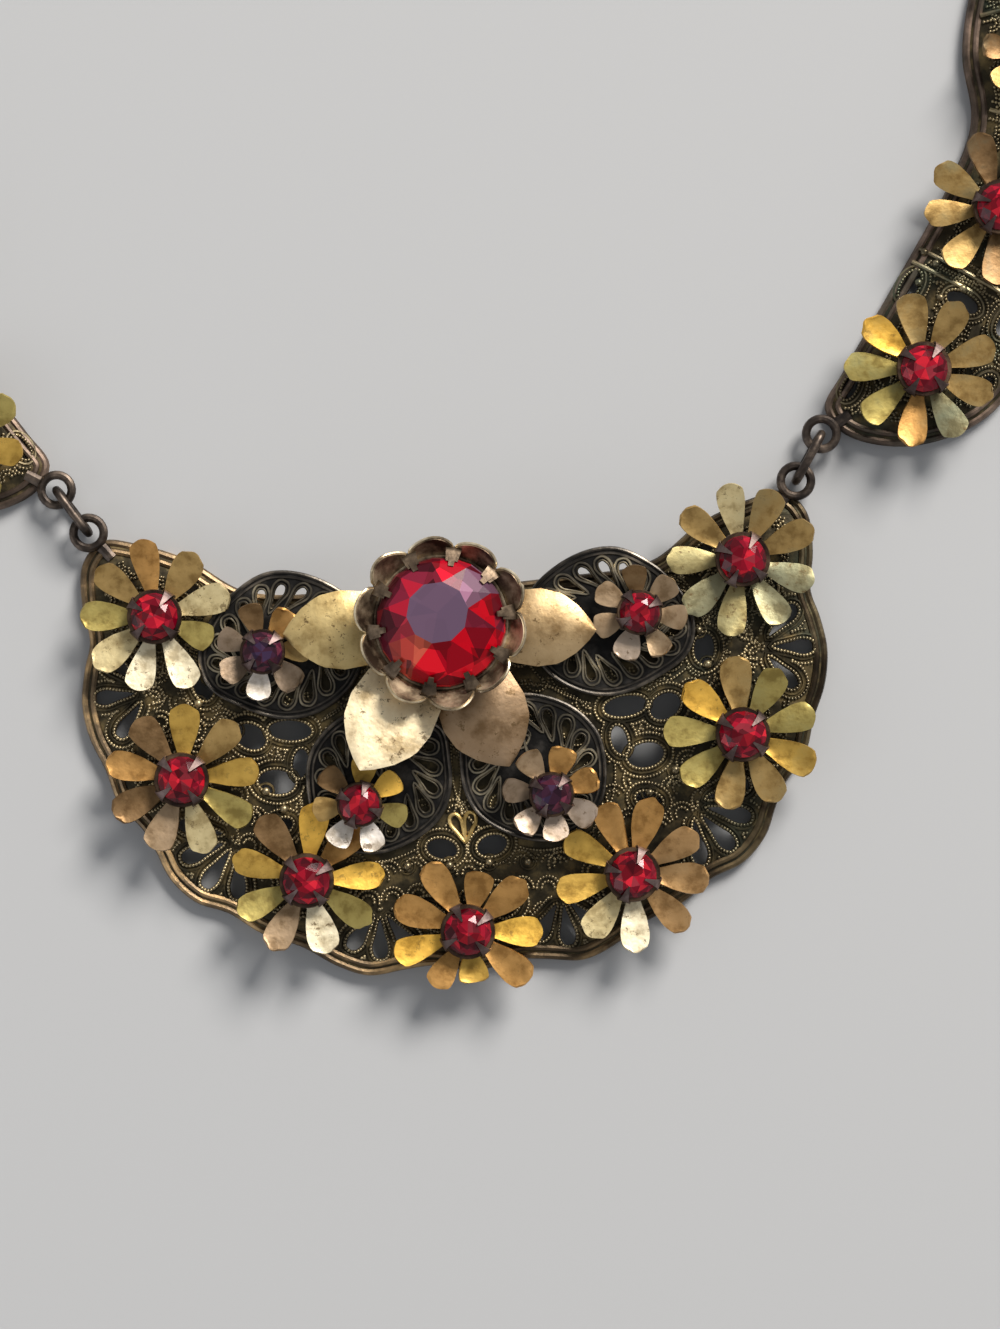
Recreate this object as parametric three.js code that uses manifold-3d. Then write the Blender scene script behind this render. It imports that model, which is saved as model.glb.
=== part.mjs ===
// Bib necklace: a pierced and gently domed main plaque set with stone-centred daisies, two side panels,
// two plain chains and a plain clasp, lying flat as a whole loop. Lengths are in millimetres.
import * as THREE from "three";
import { mergeVertices } from "three/addons/utils/BufferGeometryUtils.js";
import Module from "manifold-3d";

const wasm = await Module();
wasm.setup();

// Sheet metal of the plaque and panels
const RIM_WIDTH = 1.1;
const RIM_HEIGHT = 1.2;
const SHEET_BOTTOM = 0.4;
const SHEET_THICKNESS = 0.7;
const SHEET_TOP = SHEET_BOTTOM + SHEET_THICKNESS;
const PLAQUE_MIDDLE = 0.5;
const PLAQUE_DOME = { height: 1.6, reach: 13 };
const PANEL_DOME = { height: 1.2, reach: 7.5 };
const GAP = 0.3;

// The lobes are flat and lie on the top of the dome
const LOBE_BOTTOM = SHEET_TOP + PLAQUE_DOME.height + GAP;
const LOBE_THICKNESS = 0.5;
const LOBE_TOP = LOBE_BOTTOM + LOBE_THICKNESS;

// Flowers: a stem, a sheet of petals turned up at the tips, and a cup that holds a cut stone
const DAISY = {
  petals: 9,
  notch: 2.75,
  middle: 5.1,
  tip: 7.5,
  halfWidth: 1.42,
  tipHalfWidth: 0.72,
  rise: 0.9,
  sheet: 0.4,
  stem: 0.8,
  stemRadius: 1.2,
  cupRadius: 2.65,
  cupHeight: 1.6,
  stoneRadius: 2.3,
};
const SMALL_FLOWER = {
  petals: 7,
  notch: 2.3,
  middle: 3.3,
  tip: 4.7,
  halfWidth: 1.25,
  tipHalfWidth: 0.7,
  rise: 0.6,
  sheet: 0.35,
  stem: 1.1,
  stemRadius: 1.0,
  cupRadius: 2.2,
  cupHeight: 1.4,
  stoneRadius: 1.95,
};
const CUP_WALL = 0.5;
const CUP_SIDES = 8;
const STONE_SIDES = 8;

// Centre: four leaves on a post, a scalloped cup and the large stone
const CENTRE = { x: -0.3, y: -0.45 };
const LEAF_ANGLES = [180, -7, -123, -69];
const LEAF_LENGTHS = [15.0, 14.6, 15.8, 15.0];
const LEAF_ROOT_LEVEL = 4.9;
const LEAF_RISE = 1.4;
const LEAF_SHEET = 0.45;
const POST_RADIUS = 2.6;
const CENTRE_STONE_RADIUS = 5.85;
const SCALLOPS = 10;
const SCALLOP_PHASE = 22;
const SCALLOP_OUTER = 8.1;

// Rings, links, chain and clasp share one level and one wire
const WIRE = 0.42;
const LINK_LEVEL = 1.7;
const EYE_RADIUS = 1.45;
const LINK_HALF_HEIGHT = 1.25;
const CHAIN_LINKS = 11;
const CHAIN_HALF_WIDTH = 1.2;
const CHAIN_OVERLAP = 0.65;
const CLASP_HALF_LENGTH = 5.2;
const CLASP_RADIUS = 1.62;
const CLASP_Y = 126.2;

// Right half of the plaque's scalloped outline, from the bottom middle to the top middle,
// measured from the plaque's own middle line
const PLAQUE_HALF = [
  [0, -33.9], [4.2, -33.1], [7.0, -33.3], [10.3, -33.6], [13.2, -32.5], [16.5, -30.4],
  [20.3, -28.8], [23.2, -26.7], [26.3, -25.4], [28.6, -23.0], [29.8, -20.2], [30.8, -18.2],
  [33.0, -15.4], [34.0, -12.2], [35.3, -9.0], [35.8, -5.6], [35.3, -2.4], [34.6, 0.2],
  [35.1, 3.8], [34.8, 7.6], [32.8, 9.8], [29.5, 9.3], [24.6, 7.4], [19.4, 4.0],
  [11.2, 3.2], [0, 2.9],
];

// Right side panel, counter-clockwise from its low inner corner
const PANEL_OUTLINE = [
  [37.7, 17.4], [39.4, 14.8], [44.4, 13.2], [50.0, 13.9], [54.2, 16.2], [57.6, 20.8],
  [60.2, 27.0], [62.4, 34.0], [64.2, 41.0], [65.2, 48.0], [64.8, 54.6], [62.8, 60.4],
  [60.4, 63.6], [58.2, 62.4], [55.8, 59.2], [54.2, 55.0], [53.3, 50.0], [53.7, 43.8],
  [51.4, 38.4], [44.6, 27.9], [39.6, 20.6],
];

// Right filigree lobes, counter-clockwise
const UPPER_LOBE = [
  [8.2, 1.9], [7.4, -1.6], [9.2, -5.8], [12.6, -8.1], [16.0, -8.5], [20.1, -7.0],
  [22.9, -5.0], [23.7, -2.2], [22.6, 1.0], [20.3, 3.6], [16.6, 5.6], [12.4, 5.0],
];
const LOWER_LOBE = [
  [6.6, -7.6], [3.6, -8.9], [0.9, -10.4], [0.4, -13.4], [0.6, -16.6], [1.8, -19.0],
  [4.4, -20.9], [7.8, -21.9], [11.2, -21.2], [13.6, -18.6], [14.3, -15.4], [13.8, -11.9],
  [11.2, -9.0],
];

// Fans of teardrop openings in the plaque's scallops, right half
const PLAQUE_FANS = [
  { x: 21.6, y: -19.4, aim: -34, spread: 100, count: 4, start: 1.5, length: 4.5, width: 1.6 },
  { x: 29.2, y: -4.9, aim: -4, spread: 96, count: 3, start: 1.3, length: 4.0, width: 1.5 },
  { x: 8.7, y: -27.0, aim: -86, spread: 72, count: 3, start: 1.1, length: 4.0, width: 1.6 },
];

// Oval scroll openings of the plaque, right half, and of the right panel
const PLAQUE_OVALS = [
  { x: 16.0, y: -9.6, aim: 6, length: 4.2, width: 2.0 },
  { x: 19.8, y: -9.9, aim: 30, length: 3.2, width: 2.4 },
  { x: 15.2, y: -12.8, aim: 100, length: 2.8, width: 1.6 },
  { x: 17.6, y: -14.4, aim: 10, length: 3.6, width: 2.4 },
  { x: 23.9, y: -4.7, aim: 80, length: 3.0, width: 2.0 },
  { x: 17.6, y: -18.7, aim: -20, length: 2.6, width: 1.5 },
  { x: 2.4, y: -21.9, aim: 14, length: 3.0, width: 2.0 },
  { x: 24.6, y: 4.6, aim: 40, length: 2.4, width: 1.2 },
  { x: 3.6, y: -28.0, aim: 40, length: 2.4, width: 1.2 },
  { x: 29.6, y: -14.6, aim: -40, length: 2.4, width: 1.2 },
];
const PANEL_OVALS = [
  { x: 40.2, y: 19.2, aim: 60, length: 2.6, width: 1.3 },
  { x: 52.8, y: 18.2, aim: 40, length: 2.8, width: 1.4 },
  { x: 46.6, y: 28.4, aim: 56, length: 3.2, width: 1.6 },
  { x: 51.4, y: 26.4, aim: -34, length: 3.4, width: 1.8 },
  { x: 55.6, y: 24.2, aim: 50, length: 3.2, width: 1.8 },
  { x: 60.0, y: 41.8, aim: 70, length: 3.0, width: 1.6 },
  { x: 57.4, y: 57.0, aim: 60, length: 3.2, width: 1.6 },
  { x: 61.4, y: 57.0, aim: 110, length: 3.0, width: 1.6 },
];

// Flowers of the plaque, from the left ear round the bottom to the right ear
const DAISIES = [
  { x: -27.35, y: 2.1, phase: 14 },
  { x: -25.91, y: -13.47, phase: 3 },
  { x: -14.83, y: -23.83, phase: 1 },
  { x: 0.01, y: -29.79, phase: -5 },
  { x: 15.98, y: -25.52, phase: 30 },
  { x: 27.31, y: -13.08, phase: 14 },
  { x: 28.52, y: 3.44, phase: 18 },
];
const SMALL_FLOWERS = [
  { x: -17.33, y: -1.97, phase: 1, dark: true },
  { x: 18.37, y: -0.87, phase: -10, dark: false },
  { x: -9.27, y: -16.99, phase: 29.5, dark: false },
  { x: 8.85, y: -17.36, phase: 18, dark: true },
];

// Flowers of the right panel, from the low end up
const PANEL_FLOWERS = [
  { name: "daisy_1", kind: DAISY, x: 46.95, y: 20.15, phase: 14 },
  { name: "daisy_2", kind: DAISY, x: 55.3, y: 34.9, phase: 22 },
  { name: "flower_3", kind: SMALL_FLOWER, x: 59.3, y: 49.3, phase: 12 },
];

// Eyes at the plaque's ears and at both ends of the right panel
const EAR_EYE = { x: 34.35, y: 10.6, root: { x: 33.0, y: 8.9 } };
const PANEL_LOW_EYE = { x: 37.1, y: 14.9, root: { x: 39.6, y: 16.4 } };
const PANEL_HIGH_EYE = { x: 60.5, y: 66.2, root: { x: 60.3, y: 62.8 } };

// The right chain's route, from the panel's high eye to the clasp
const CHAIN_ROUTE = [
  [60.5, 66.2], [61.5, 74], [60.9, 83], [58.2, 93.5], [52.8, 104],
  [44.2, 113.4], [33.2, 120.4], [20.5, 124.9], [CLASP_HALF_LENGTH + EYE_RADIUS + 0.9, CLASP_Y],
];

const MATERIALS = {
  bronze: { color: 0x5a5038, roughness: 0.5, metalness: 0.9 },
  blackened: { color: 0x2c2a26, roughness: 0.45, metalness: 0.9 },
  gilt: { color: 0xb08a45, roughness: 0.42, metalness: 0.9 },
  paleGilt: { color: 0xb9a67a, roughness: 0.5, metalness: 0.85 },
  cup: { color: 0x6e5638, roughness: 0.45, metalness: 0.9 },
  redGlass: { color: 0xb0101c, roughness: 0.05, metalness: 0.0 },
  purpleGlass: { color: 0x2a1026, roughness: 0.05, metalness: 0.0 },
  steel: { color: 0x4b4640, roughness: 0.5, metalness: 0.9 },
};

const necklace = new THREE.Group();
const radians = THREE.MathUtils.degToRad;

// Welds shared corners and drops triangles that have collapsed on an axis
function welded(geometry) {
  const bare = geometry.clone();
  bare.deleteAttribute("normal");
  bare.deleteAttribute("uv");
  const merged = mergeVertices(bare, 1e-4);
  const kept = [];
  for (let i = 0; i < merged.index.count; i += 3) {
    const [a, b, c] = [0, 1, 2].map((k) => merged.index.getX(i + k));
    if (a !== b && b !== c && c !== a) kept.push(a, b, c);
  }
  merged.setIndex(kept);
  return merged;
}

function solidOf(geometry) {
  const closed = welded(geometry);
  const vertProperties = new Float32Array(closed.attributes.position.array);
  const triVerts = new Uint32Array(closed.index.array);
  return new wasm.Manifold(new wasm.Mesh({ numProp: 3, vertProperties, triVerts }));
}

function geometryOf(solid) {
  const mesh = solid.getMesh();
  const geometry = new THREE.BufferGeometry();
  geometry.setAttribute("position", new THREE.BufferAttribute(mesh.vertProperties, 3));
  geometry.setIndex(new THREE.BufferAttribute(mesh.triVerts, 1));
  return geometry;
}

function joined(geometries) {
  return geometryOf(geometries.map(solidOf).reduce((whole, next) => whole.add(next)));
}

function addPiece(name, geometry, material, x = 0, y = 0, z = 0, turn = 0) {
  const mesh = new THREE.Mesh(geometry, new THREE.MeshStandardMaterial(MATERIALS[material]));
  mesh.name = name;
  mesh.position.set(x, y, z);
  mesh.rotation.z = radians(turn);
  necklace.add(mesh);
}

// Moves each corner up by a height that depends on where it lies
function raised(geometry, heightAt) {
  const place = geometry.attributes.position;
  for (let i = 0; i < place.count; i += 1) {
    place.setZ(i, place.getZ(i) + heightAt(place.getX(i), place.getY(i)));
  }
  return geometry;
}

function slab(shape, bottom, thickness) {
  const geometry = new THREE.ExtrudeGeometry(shape, { depth: thickness, bevelEnabled: false });
  return geometry.translate(0, 0, bottom);
}

// Lathe turned so that its axis points up
function turned(profile, sides) {
  const points = profile.map(([radius, height]) => new THREE.Vector2(radius, height));
  return new THREE.LatheGeometry(points, sides).rotateX(Math.PI / 2);
}

// A smooth closed outline through a few points, on the right (side 1) or left (side -1)
function smoothOutline(points, count, side = 1, middle = 0) {
  const corners = points.map(([x, y]) => new THREE.Vector3(middle + side * x, y, 0));
  const curve = new THREE.CatmullRomCurve3(corners, true, "centripetal");
  const outline = curve.getSpacedPoints(count).slice(0, count);
  const flat = outline.map((p) => new THREE.Vector2(p.x, p.y));
  return side < 0 ? flat.reverse() : flat;
}

// The outline moved outward by a distance, for an outline that runs counter-clockwise
function offset(outline, distance) {
  return outline.map((p, i) => {
    const before = outline[(i + outline.length - 1) % outline.length];
    const after = outline[(i + 1) % outline.length];
    const along = after.clone().sub(before).normalize();
    return new THREE.Vector2(p.x + along.y * distance, p.y - along.x * distance);
  });
}

function distanceToOutline(x, y, outline) {
  let nearest = Infinity;
  outline.forEach((a, i) => {
    const b = outline[(i + 1) % outline.length];
    const [ex, ey] = [b.x - a.x, b.y - a.y];
    const t = THREE.MathUtils.clamp(((x - a.x) * ex + (y - a.y) * ey) / (ex * ex + ey * ey), 0, 1);
    nearest = Math.min(nearest, Math.hypot(x - a.x - t * ex, y - a.y - t * ey));
  });
  return nearest;
}

function isInside(x, y, outline) {
  let inside = false;
  outline.forEach((a, i) => {
    const b = outline[(i + 1) % outline.length];
    if (a.y > y !== b.y > y && x < a.x + ((y - a.y) * (b.x - a.x)) / (b.y - a.y)) inside = !inside;
  });
  return inside;
}

// Height of the pressed dome: nothing at the rim, and level again one reach inward
function domeOver(outline, dome) {
  return (x, y) => {
    if (!isInside(x, y, outline)) return 0;
    const inward = Math.min(distanceToOutline(x, y, outline) / dome.reach, 1);
    return dome.height * (1 - (1 - inward) ** 2);
  };
}

// The highest point of the dome below a round foot
function seatLevel(heightAt, x, y, radius) {
  let level = heightAt(x, y);
  for (let i = 0; i < 8; i += 1) {
    const turn = (i * Math.PI) / 4;
    level = Math.max(level, heightAt(x + radius * Math.cos(turn), y + radius * Math.sin(turn)));
  }
  return level;
}

// A teardrop opening: its point is at the start and its round end at the far side
const TEARDROP = [
  { along: 0, across: 0 },
  { along: 0.4, across: 0.3 },
  { along: 0.75, across: 0.5 },
  { along: 0.97, across: 0.26 },
];

function placed(x, y, aim, along, across) {
  const [c, s] = [Math.cos(radians(aim)), Math.sin(radians(aim))];
  return new THREE.Vector2(x + c * along - s * across, y + s * along + c * across);
}

function teardrop(x, y, aim, length, width) {
  const right = TEARDROP.map((p) => placed(x, y, aim, p.along * length, -p.across * width));
  const left = TEARDROP.slice(1).map((p) => placed(x, y, aim, p.along * length, p.across * width));
  return new THREE.Path([...right, ...left.reverse()]);
}

function oval({ x, y, aim, length, width }) {
  const corners = [];
  for (let i = 0; i < 8; i += 1) {
    const turn = (i * Math.PI) / 4;
    corners.push(placed(x, y, aim, (Math.cos(turn) * length) / 2, (Math.sin(turn) * width) / 2));
  }
  return new THREE.Path(corners);
}

function fan({ x, y, aim, spread, count, start, length, width }) {
  const drops = [];
  for (let i = 0; i < count; i += 1) {
    const turn = aim + spread * (i / (count - 1) - 0.5);
    const tip = placed(x, y, turn, start, 0);
    drops.push(teardrop(tip.x, tip.y, turn, length, width));
  }
  return drops;
}

function mirrored(path, middle) {
  const points = path.getPoints().map((p) => new THREE.Vector2(2 * middle - p.x, p.y));
  return new THREE.Path(points.reverse());
}

// A flat ring of wire that a link passes through, with the lug that carries it
function eye({ x, y, root }, side, middle) {
  const ring = new THREE.TorusGeometry(EYE_RADIUS, WIRE, 5, 10);
  ring.translate(x, y, LINK_LEVEL);
  const reach = Math.hypot(root.x - x, root.y - y);
  const lugLength = reach - EYE_RADIUS + 1.0;
  const lugTop = LINK_LEVEL + 0.25;
  const lug = new THREE.BoxGeometry(lugLength, 1.6, lugTop - 0.5);
  lug.translate(EYE_RADIUS + lugLength / 2 - 0.1, 0, (lugTop + 0.5) / 2);
  lug.rotateZ(Math.atan2(root.y - y, root.x - x));
  lug.translate(x, y, 0);
  return [ring, lug].map((g) => (side < 0 ? mirroredSolid(g, middle) : g));
}

// The same geometry on the other side of a vertical plane, with its faces still pointing out
function mirroredSolid(geometry, middle) {
  const other = welded(geometry);
  const place = other.attributes.position;
  for (let i = 0; i < place.count; i += 1) place.setX(i, 2 * middle - place.getX(i));
  const corners = Array.from(other.index.array);
  for (let i = 0; i < corners.length; i += 3) {
    [corners[i], corners[i + 1]] = [corners[i + 1], corners[i]];
  }
  other.setIndex(corners);
  return other;
}

// Rimmed sheet: a border that stands on the floor and a pierced sheet domed inside it
function rimmedSheet(outline, openings, heightAt, extras) {
  const border = new THREE.Shape(outline);
  border.holes.push(new THREE.Path(offset(outline, -RIM_WIDTH)));
  const field = new THREE.Shape(offset(outline, -RIM_WIDTH / 2));
  field.holes.push(...openings);
  const sheet = raised(slab(field, SHEET_BOTTOM, SHEET_THICKNESS), heightAt);
  return joined([slab(border, 0, RIM_HEIGHT), sheet, ...extras]);
}

const plaqueLeftHalf = PLAQUE_HALF.slice(1, -1).reverse().map(([x, y]) => [-x, y]);
const plaqueOutline = smoothOutline([...PLAQUE_HALF, ...plaqueLeftHalf], 58, 1, PLAQUE_MIDDLE);
const plaqueHeight = domeOver(plaqueOutline, PLAQUE_DOME);

function addPlaque() {
  const shifted = (o) => ({ ...o, x: o.x + PLAQUE_MIDDLE });
  const right = [
    ...PLAQUE_FANS.flatMap((f) => fan(shifted(f))),
    ...PLAQUE_OVALS.map((o) => oval(shifted(o))),
  ];
  const left = right.map((path) => mirrored(path, PLAQUE_MIDDLE));
  const ears = [...eye(EAR_EYE, 1, PLAQUE_MIDDLE), ...eye(EAR_EYE, -1, PLAQUE_MIDDLE)];
  const plaque = rimmedSheet(plaqueOutline, [...right, ...left], plaqueHeight, ears);
  addPiece("plaque_filigree", plaque, "bronze");
}

// Lobes: pierced with teardrops that lie on both sides of a spine, like a frond
const LOBES = [
  { name: "upper", points: UPPER_LOBE, from: [9.6, -1.9], to: [20.6, -1.3], drop: 4.2 },
  { name: "lower", points: LOWER_LOBE, from: [6.3, -10.6], to: [8.2, -19.6], drop: 3.9 },
];
const DROPS_PER_SIDE = 3;
const DROP_LEAN = 52;

function frond({ from, to, drop }, side) {
  const aim = THREE.MathUtils.radToDeg(Math.atan2(to[1] - from[1], to[0] - from[0]));
  const step = Math.hypot(to[0] - from[0], to[1] - from[1]) / DROPS_PER_SIDE;
  const drops = [];
  for (let i = 0; i < DROPS_PER_SIDE; i += 1) {
    for (const lean of [-DROP_LEAN, DROP_LEAN]) {
      const tip = placed(from[0], from[1], aim, i * step, Math.sign(lean) * 0.7);
      const hole = teardrop(tip.x, tip.y, aim + lean, drop, 1.5);
      drops.push(side < 0 ? mirrored(hole, 0) : hole);
    }
  }
  return drops;
}

function addLobes() {
  for (const lobe of LOBES) {
    for (const [side, word] of [[1, "right"], [-1, "left"]]) {
      const shape = new THREE.Shape(smoothOutline(lobe.points, 18, side));
      shape.holes.push(...frond(lobe, side));
      const plate = slab(shape, LOBE_BOTTOM, LOBE_THICKNESS);
      addPiece(`lobe_${lobe.name}_${word}`, welded(plate), "blackened");
    }
  }
}

// One closed outline that goes round every petal, with a notch between neighbours
function petalOutline(kind) {
  const points = [];
  const step = 360 / kind.petals;
  for (let i = 0; i < kind.petals; i += 1) {
    const aim = i * step;
    points.push(
      placed(0, 0, aim - step / 2, kind.notch, 0),
      placed(0, 0, aim, kind.middle, -kind.halfWidth),
      placed(0, 0, aim, kind.tip, -kind.tipHalfWidth),
      placed(0, 0, aim, kind.tip, kind.tipHalfWidth),
      placed(0, 0, aim, kind.middle, kind.halfWidth),
    );
  }
  return new THREE.Shape(points);
}

// Petals, cup and stem are soldered into one solid; its stem's foot is at zero height
function flower(kind) {
  const petals = raised(slab(petalOutline(kind), kind.stem, kind.sheet), (x, y) => {
    const outward = (Math.hypot(x, y) - kind.notch) / (kind.tip - kind.notch);
    return kind.rise * Math.max(0, outward);
  });
  const inSheet = kind.stem + kind.sheet / 2;
  const rim = kind.stem + kind.cupHeight;
  const inside = kind.cupRadius - CUP_WALL;
  const cup = turned(
    [[0, 0], [kind.stemRadius, 0], [kind.stemRadius, inSheet], [kind.cupRadius - 0.3, inSheet],
      [kind.cupRadius, rim], [inside, rim], [0, kind.stem + 0.5]],
    CUP_SIDES,
  );
  return joined([petals, cup]);
}

// A cut stone with a table, crown facets, a girdle and a pointed pavilion
function cutStone(radius, sides) {
  const profile = [
    [0, -0.38 * radius], [radius, 0], [radius, 0.1 * radius], [0.55 * radius, 0.4 * radius],
    [0, 0.4 * radius],
  ];
  return welded(turned(profile, sides));
}

function addFlower(names, kind, { x, y, phase, dark }, foot, metal) {
  addPiece(names.flower, flower(kind), metal, x, y, foot, phase);
  const girdle = foot + kind.stem + kind.cupHeight + GAP;
  const stone = cutStone(kind.stoneRadius, STONE_SIDES);
  addPiece(names.stone, stone, dark ? "purpleGlass" : "redGlass", x, y, girdle, phase);
}

function addPlaqueFlowers() {
  DAISIES.forEach((place, i) => {
    const names = { flower: `daisy_${i + 1}`, stone: `daisy_stone_${i + 1}` };
    const below = seatLevel(plaqueHeight, place.x, place.y, DAISY.stemRadius);
    addFlower(names, DAISY, place, SHEET_TOP + GAP + below, "gilt");
  });
  SMALL_FLOWERS.forEach((place, i) => {
    const names = { flower: `small_flower_${i + 1}`, stone: `small_stone_${i + 1}` };
    addFlower(names, SMALL_FLOWER, place, LOBE_TOP + GAP, "gilt");
  });
}

const LEAF = [
  { along: 0.2, across: 1.7 },
  { along: 0.42, across: 3.4 },
  { along: 0.64, across: 3.9 },
  { along: 0.86, across: 2.2 },
];

function leafShape(aim, length) {
  const right = LEAF.map((p) => placed(0, 0, aim, p.along * length, -p.across));
  const left = LEAF.map((p) => placed(0, 0, aim, p.along * length, p.across));
  return new THREE.Shape([...right, placed(0, 0, aim, length, 0), ...left.reverse()]);
}

function addCentre() {
  const foot = SHEET_TOP + GAP + seatLevel(plaqueHeight, CENTRE.x, CENTRE.y, POST_RADIUS);
  const hubTop = LEAF_ROOT_LEVEL + LEAF_SHEET;
  const leaves = LEAF_ANGLES.map((aim, i) => {
    const leaf = slab(leafShape(aim, LEAF_LENGTHS[i]), LEAF_ROOT_LEVEL, LEAF_SHEET);
    return raised(leaf, (x, y) => {
      const outward = THREE.MathUtils.clamp((Math.hypot(x, y) - 3.5) / 5, 0, 1);
      return LEAF_RISE * outward;
    });
  });
  const post = turned(
    [[0, foot], [POST_RADIUS, foot], [POST_RADIUS, LEAF_ROOT_LEVEL], [4.2, LEAF_ROOT_LEVEL],
      [4.2, hubTop], [0, hubTop]],
    10,
  );
  addPiece("leaf_rosette", joined([post, ...leaves]), "paleGilt", CENTRE.x, CENTRE.y, 0);
  addCentreCup(hubTop + GAP);
}

// The cup: a dished seat with a flared border of round scallops
function addCentreCup(foot) {
  const seat = turned([[0, 0], [3.9, 0], [6.5, 2.6], [6.5, 3.1], [5.5, 3.1], [0, 0.6]], 16);
  const scallops = [];
  const step = 360 / SCALLOPS;
  for (let i = 0; i < SCALLOPS; i += 1) {
    const aim = i * step;
    scallops.push(
      placed(0, 0, aim - step / 2, 6.8, 0),
      placed(0, 0, aim - step / 5, SCALLOP_OUTER, 0),
      placed(0, 0, aim + step / 5, SCALLOP_OUTER, 0),
    );
  }
  const border = new THREE.Shape(scallops);
  const bore = [];
  for (let i = 0; i < 16; i += 1) bore.push(placed(0, 0, -i * 22.5, 6.2, 0));
  border.holes.push(new THREE.Path(bore));
  const flare = raised(slab(border, 2.6, 0.5), (x, y) => 0.8 * (Math.hypot(x, y) - 6.2));
  const cup = joined([seat, flare]);
  addPiece("centre_cup", cup, "cup", CENTRE.x, CENTRE.y, foot, SCALLOP_PHASE);
  const stone = cutStone(CENTRE_STONE_RADIUS, 10);
  addPiece("centre_stone", stone, "redGlass", CENTRE.x, CENTRE.y, foot + 3.1 + GAP, 4);
}

function addPanel(side, word) {
  const outline = smoothOutline(PANEL_OUTLINE, 32, side, PLAQUE_MIDDLE * (1 - side));
  const heightAt = domeOver(outline, PANEL_DOME);
  const across = (path) => (side < 0 ? mirrored(path, PLAQUE_MIDDLE) : path);
  const openings = PANEL_OVALS.map((o) => across(oval(o)));
  const eyes = [PANEL_LOW_EYE, PANEL_HIGH_EYE].flatMap((e) => eye(e, side, PLAQUE_MIDDLE));
  addPiece(`panel_${word}`, rimmedSheet(outline, openings, heightAt, eyes), "bronze");
  for (const spot of PANEL_FLOWERS) {
    const x = side < 0 ? 2 * PLAQUE_MIDDLE - spot.x : spot.x;
    const place = { x, y: spot.y, phase: side * spot.phase };
    const stem = `panel_${word}_${spot.name}`;
    const names = { flower: stem, stone: `${stem}_stone` };
    const below = seatLevel(heightAt, x, spot.y, spot.kind.stemRadius);
    addFlower(names, spot.kind, place, SHEET_TOP + GAP + below, "gilt");
  }
}

// A closed loop of round wire, long in X and upright in Z
class OvalLoop extends THREE.Curve {
  constructor(halfLength, halfHeight) {
    super();
    this.halfLength = halfLength;
    this.halfHeight = halfHeight;
  }

  getPoint(t, target = new THREE.Vector3()) {
    const turn = 2 * Math.PI * t;
    const straight = this.halfLength - this.halfHeight;
    const x = this.halfHeight * Math.cos(turn) + straight * THREE.MathUtils.clamp(
      1.8 * Math.cos(turn), -1, 1,
    );
    return target.set(x, 0, this.halfHeight * Math.sin(turn));
  }
}

function loopOfWire(halfLength, halfHeight, steps, sides) {
  return new THREE.TubeGeometry(new OvalLoop(halfLength, halfHeight), steps, WIRE, sides, true);
}

// The upright link that joins each ear of the plaque to its panel
function addJumpLink(side, word) {
  const [a, b] = [EAR_EYE, PANEL_LOW_EYE];
  const reach = Math.hypot(b.x - a.x, b.y - a.y);
  const link = loopOfWire(reach / 2, LINK_HALF_HEIGHT, 12, 6);
  const x = (a.x + b.x) / 2;
  const turn = THREE.MathUtils.radToDeg(Math.atan2(b.y - a.y, b.x - a.x));
  const placedX = side < 0 ? 2 * PLAQUE_MIDDLE - x : x;
  addPiece(
    `jump_link_${word}`, welded(link), "steel", placedX, (a.y + b.y) / 2, LINK_LEVEL, side * turn,
  );
}

// Oval links, upright and flat by turns, soldered where they touch
function addChain(side, word) {
  const corners = CHAIN_ROUTE.map(([x, y]) => {
    return new THREE.Vector3(side < 0 ? 2 * PLAQUE_MIDDLE - x : x, y, LINK_LEVEL);
  });
  const route = new THREE.CatmullRomCurve3(corners, false, "centripetal");
  const length = route.getLength();
  const half = (length + (CHAIN_LINKS - 1) * CHAIN_OVERLAP) / (2 * CHAIN_LINKS);
  const pitch = 2 * half - CHAIN_OVERLAP;
  const links = [];
  for (let i = 0; i < CHAIN_LINKS; i += 1) {
    const at = (half + i * pitch) / length;
    const centre = route.getPointAt(at);
    const along = route.getTangentAt(at);
    const link = loopOfWire(half, CHAIN_HALF_WIDTH, 10, 5);
    if (i % 2) link.rotateX(Math.PI / 2);
    link.rotateZ(Math.atan2(along.y, along.x));
    link.translate(centre.x, centre.y, centre.z);
    links.push(link);
  }
  addPiece(`chain_${word}`, joined(links), "steel");
}

// A plain barrel with an eye at each end
function addClasp() {
  const barrel = turned(
    [[0, -CLASP_HALF_LENGTH], [1.0, -CLASP_HALF_LENGTH], [CLASP_RADIUS, 0.6 - CLASP_HALF_LENGTH],
      [CLASP_RADIUS, CLASP_HALF_LENGTH - 0.6], [1.0, CLASP_HALF_LENGTH], [0, CLASP_HALF_LENGTH]],
    8,
  );
  barrel.rotateY(Math.PI / 2);
  const eyes = [-1, 1].map((end) => {
    const ring = new THREE.TorusGeometry(EYE_RADIUS, WIRE, 5, 10);
    return ring.translate(end * (CLASP_HALF_LENGTH + EYE_RADIUS + 0.2), 0, 0);
  });
  addPiece("clasp", joined([barrel, ...eyes]), "steel", PLAQUE_MIDDLE, CLASP_Y, LINK_LEVEL);
}

addPlaque();
addLobes();
addPlaqueFlowers();
addCentre();
for (const [side, word] of [[1, "right"], [-1, "left"]]) {
  addPanel(side, word);
  addJumpLink(side, word);
  addChain(side, word);
}
addClasp();

// The origin is on the floor below the middle of the whole necklace
necklace.updateMatrixWorld(true);
const bounds = new THREE.Box3().setFromObject(necklace, true);
const middle = bounds.getCenter(new THREE.Vector3());
necklace.position.set(-middle.x, -middle.y, -bounds.min.z);

export default necklace;
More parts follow.
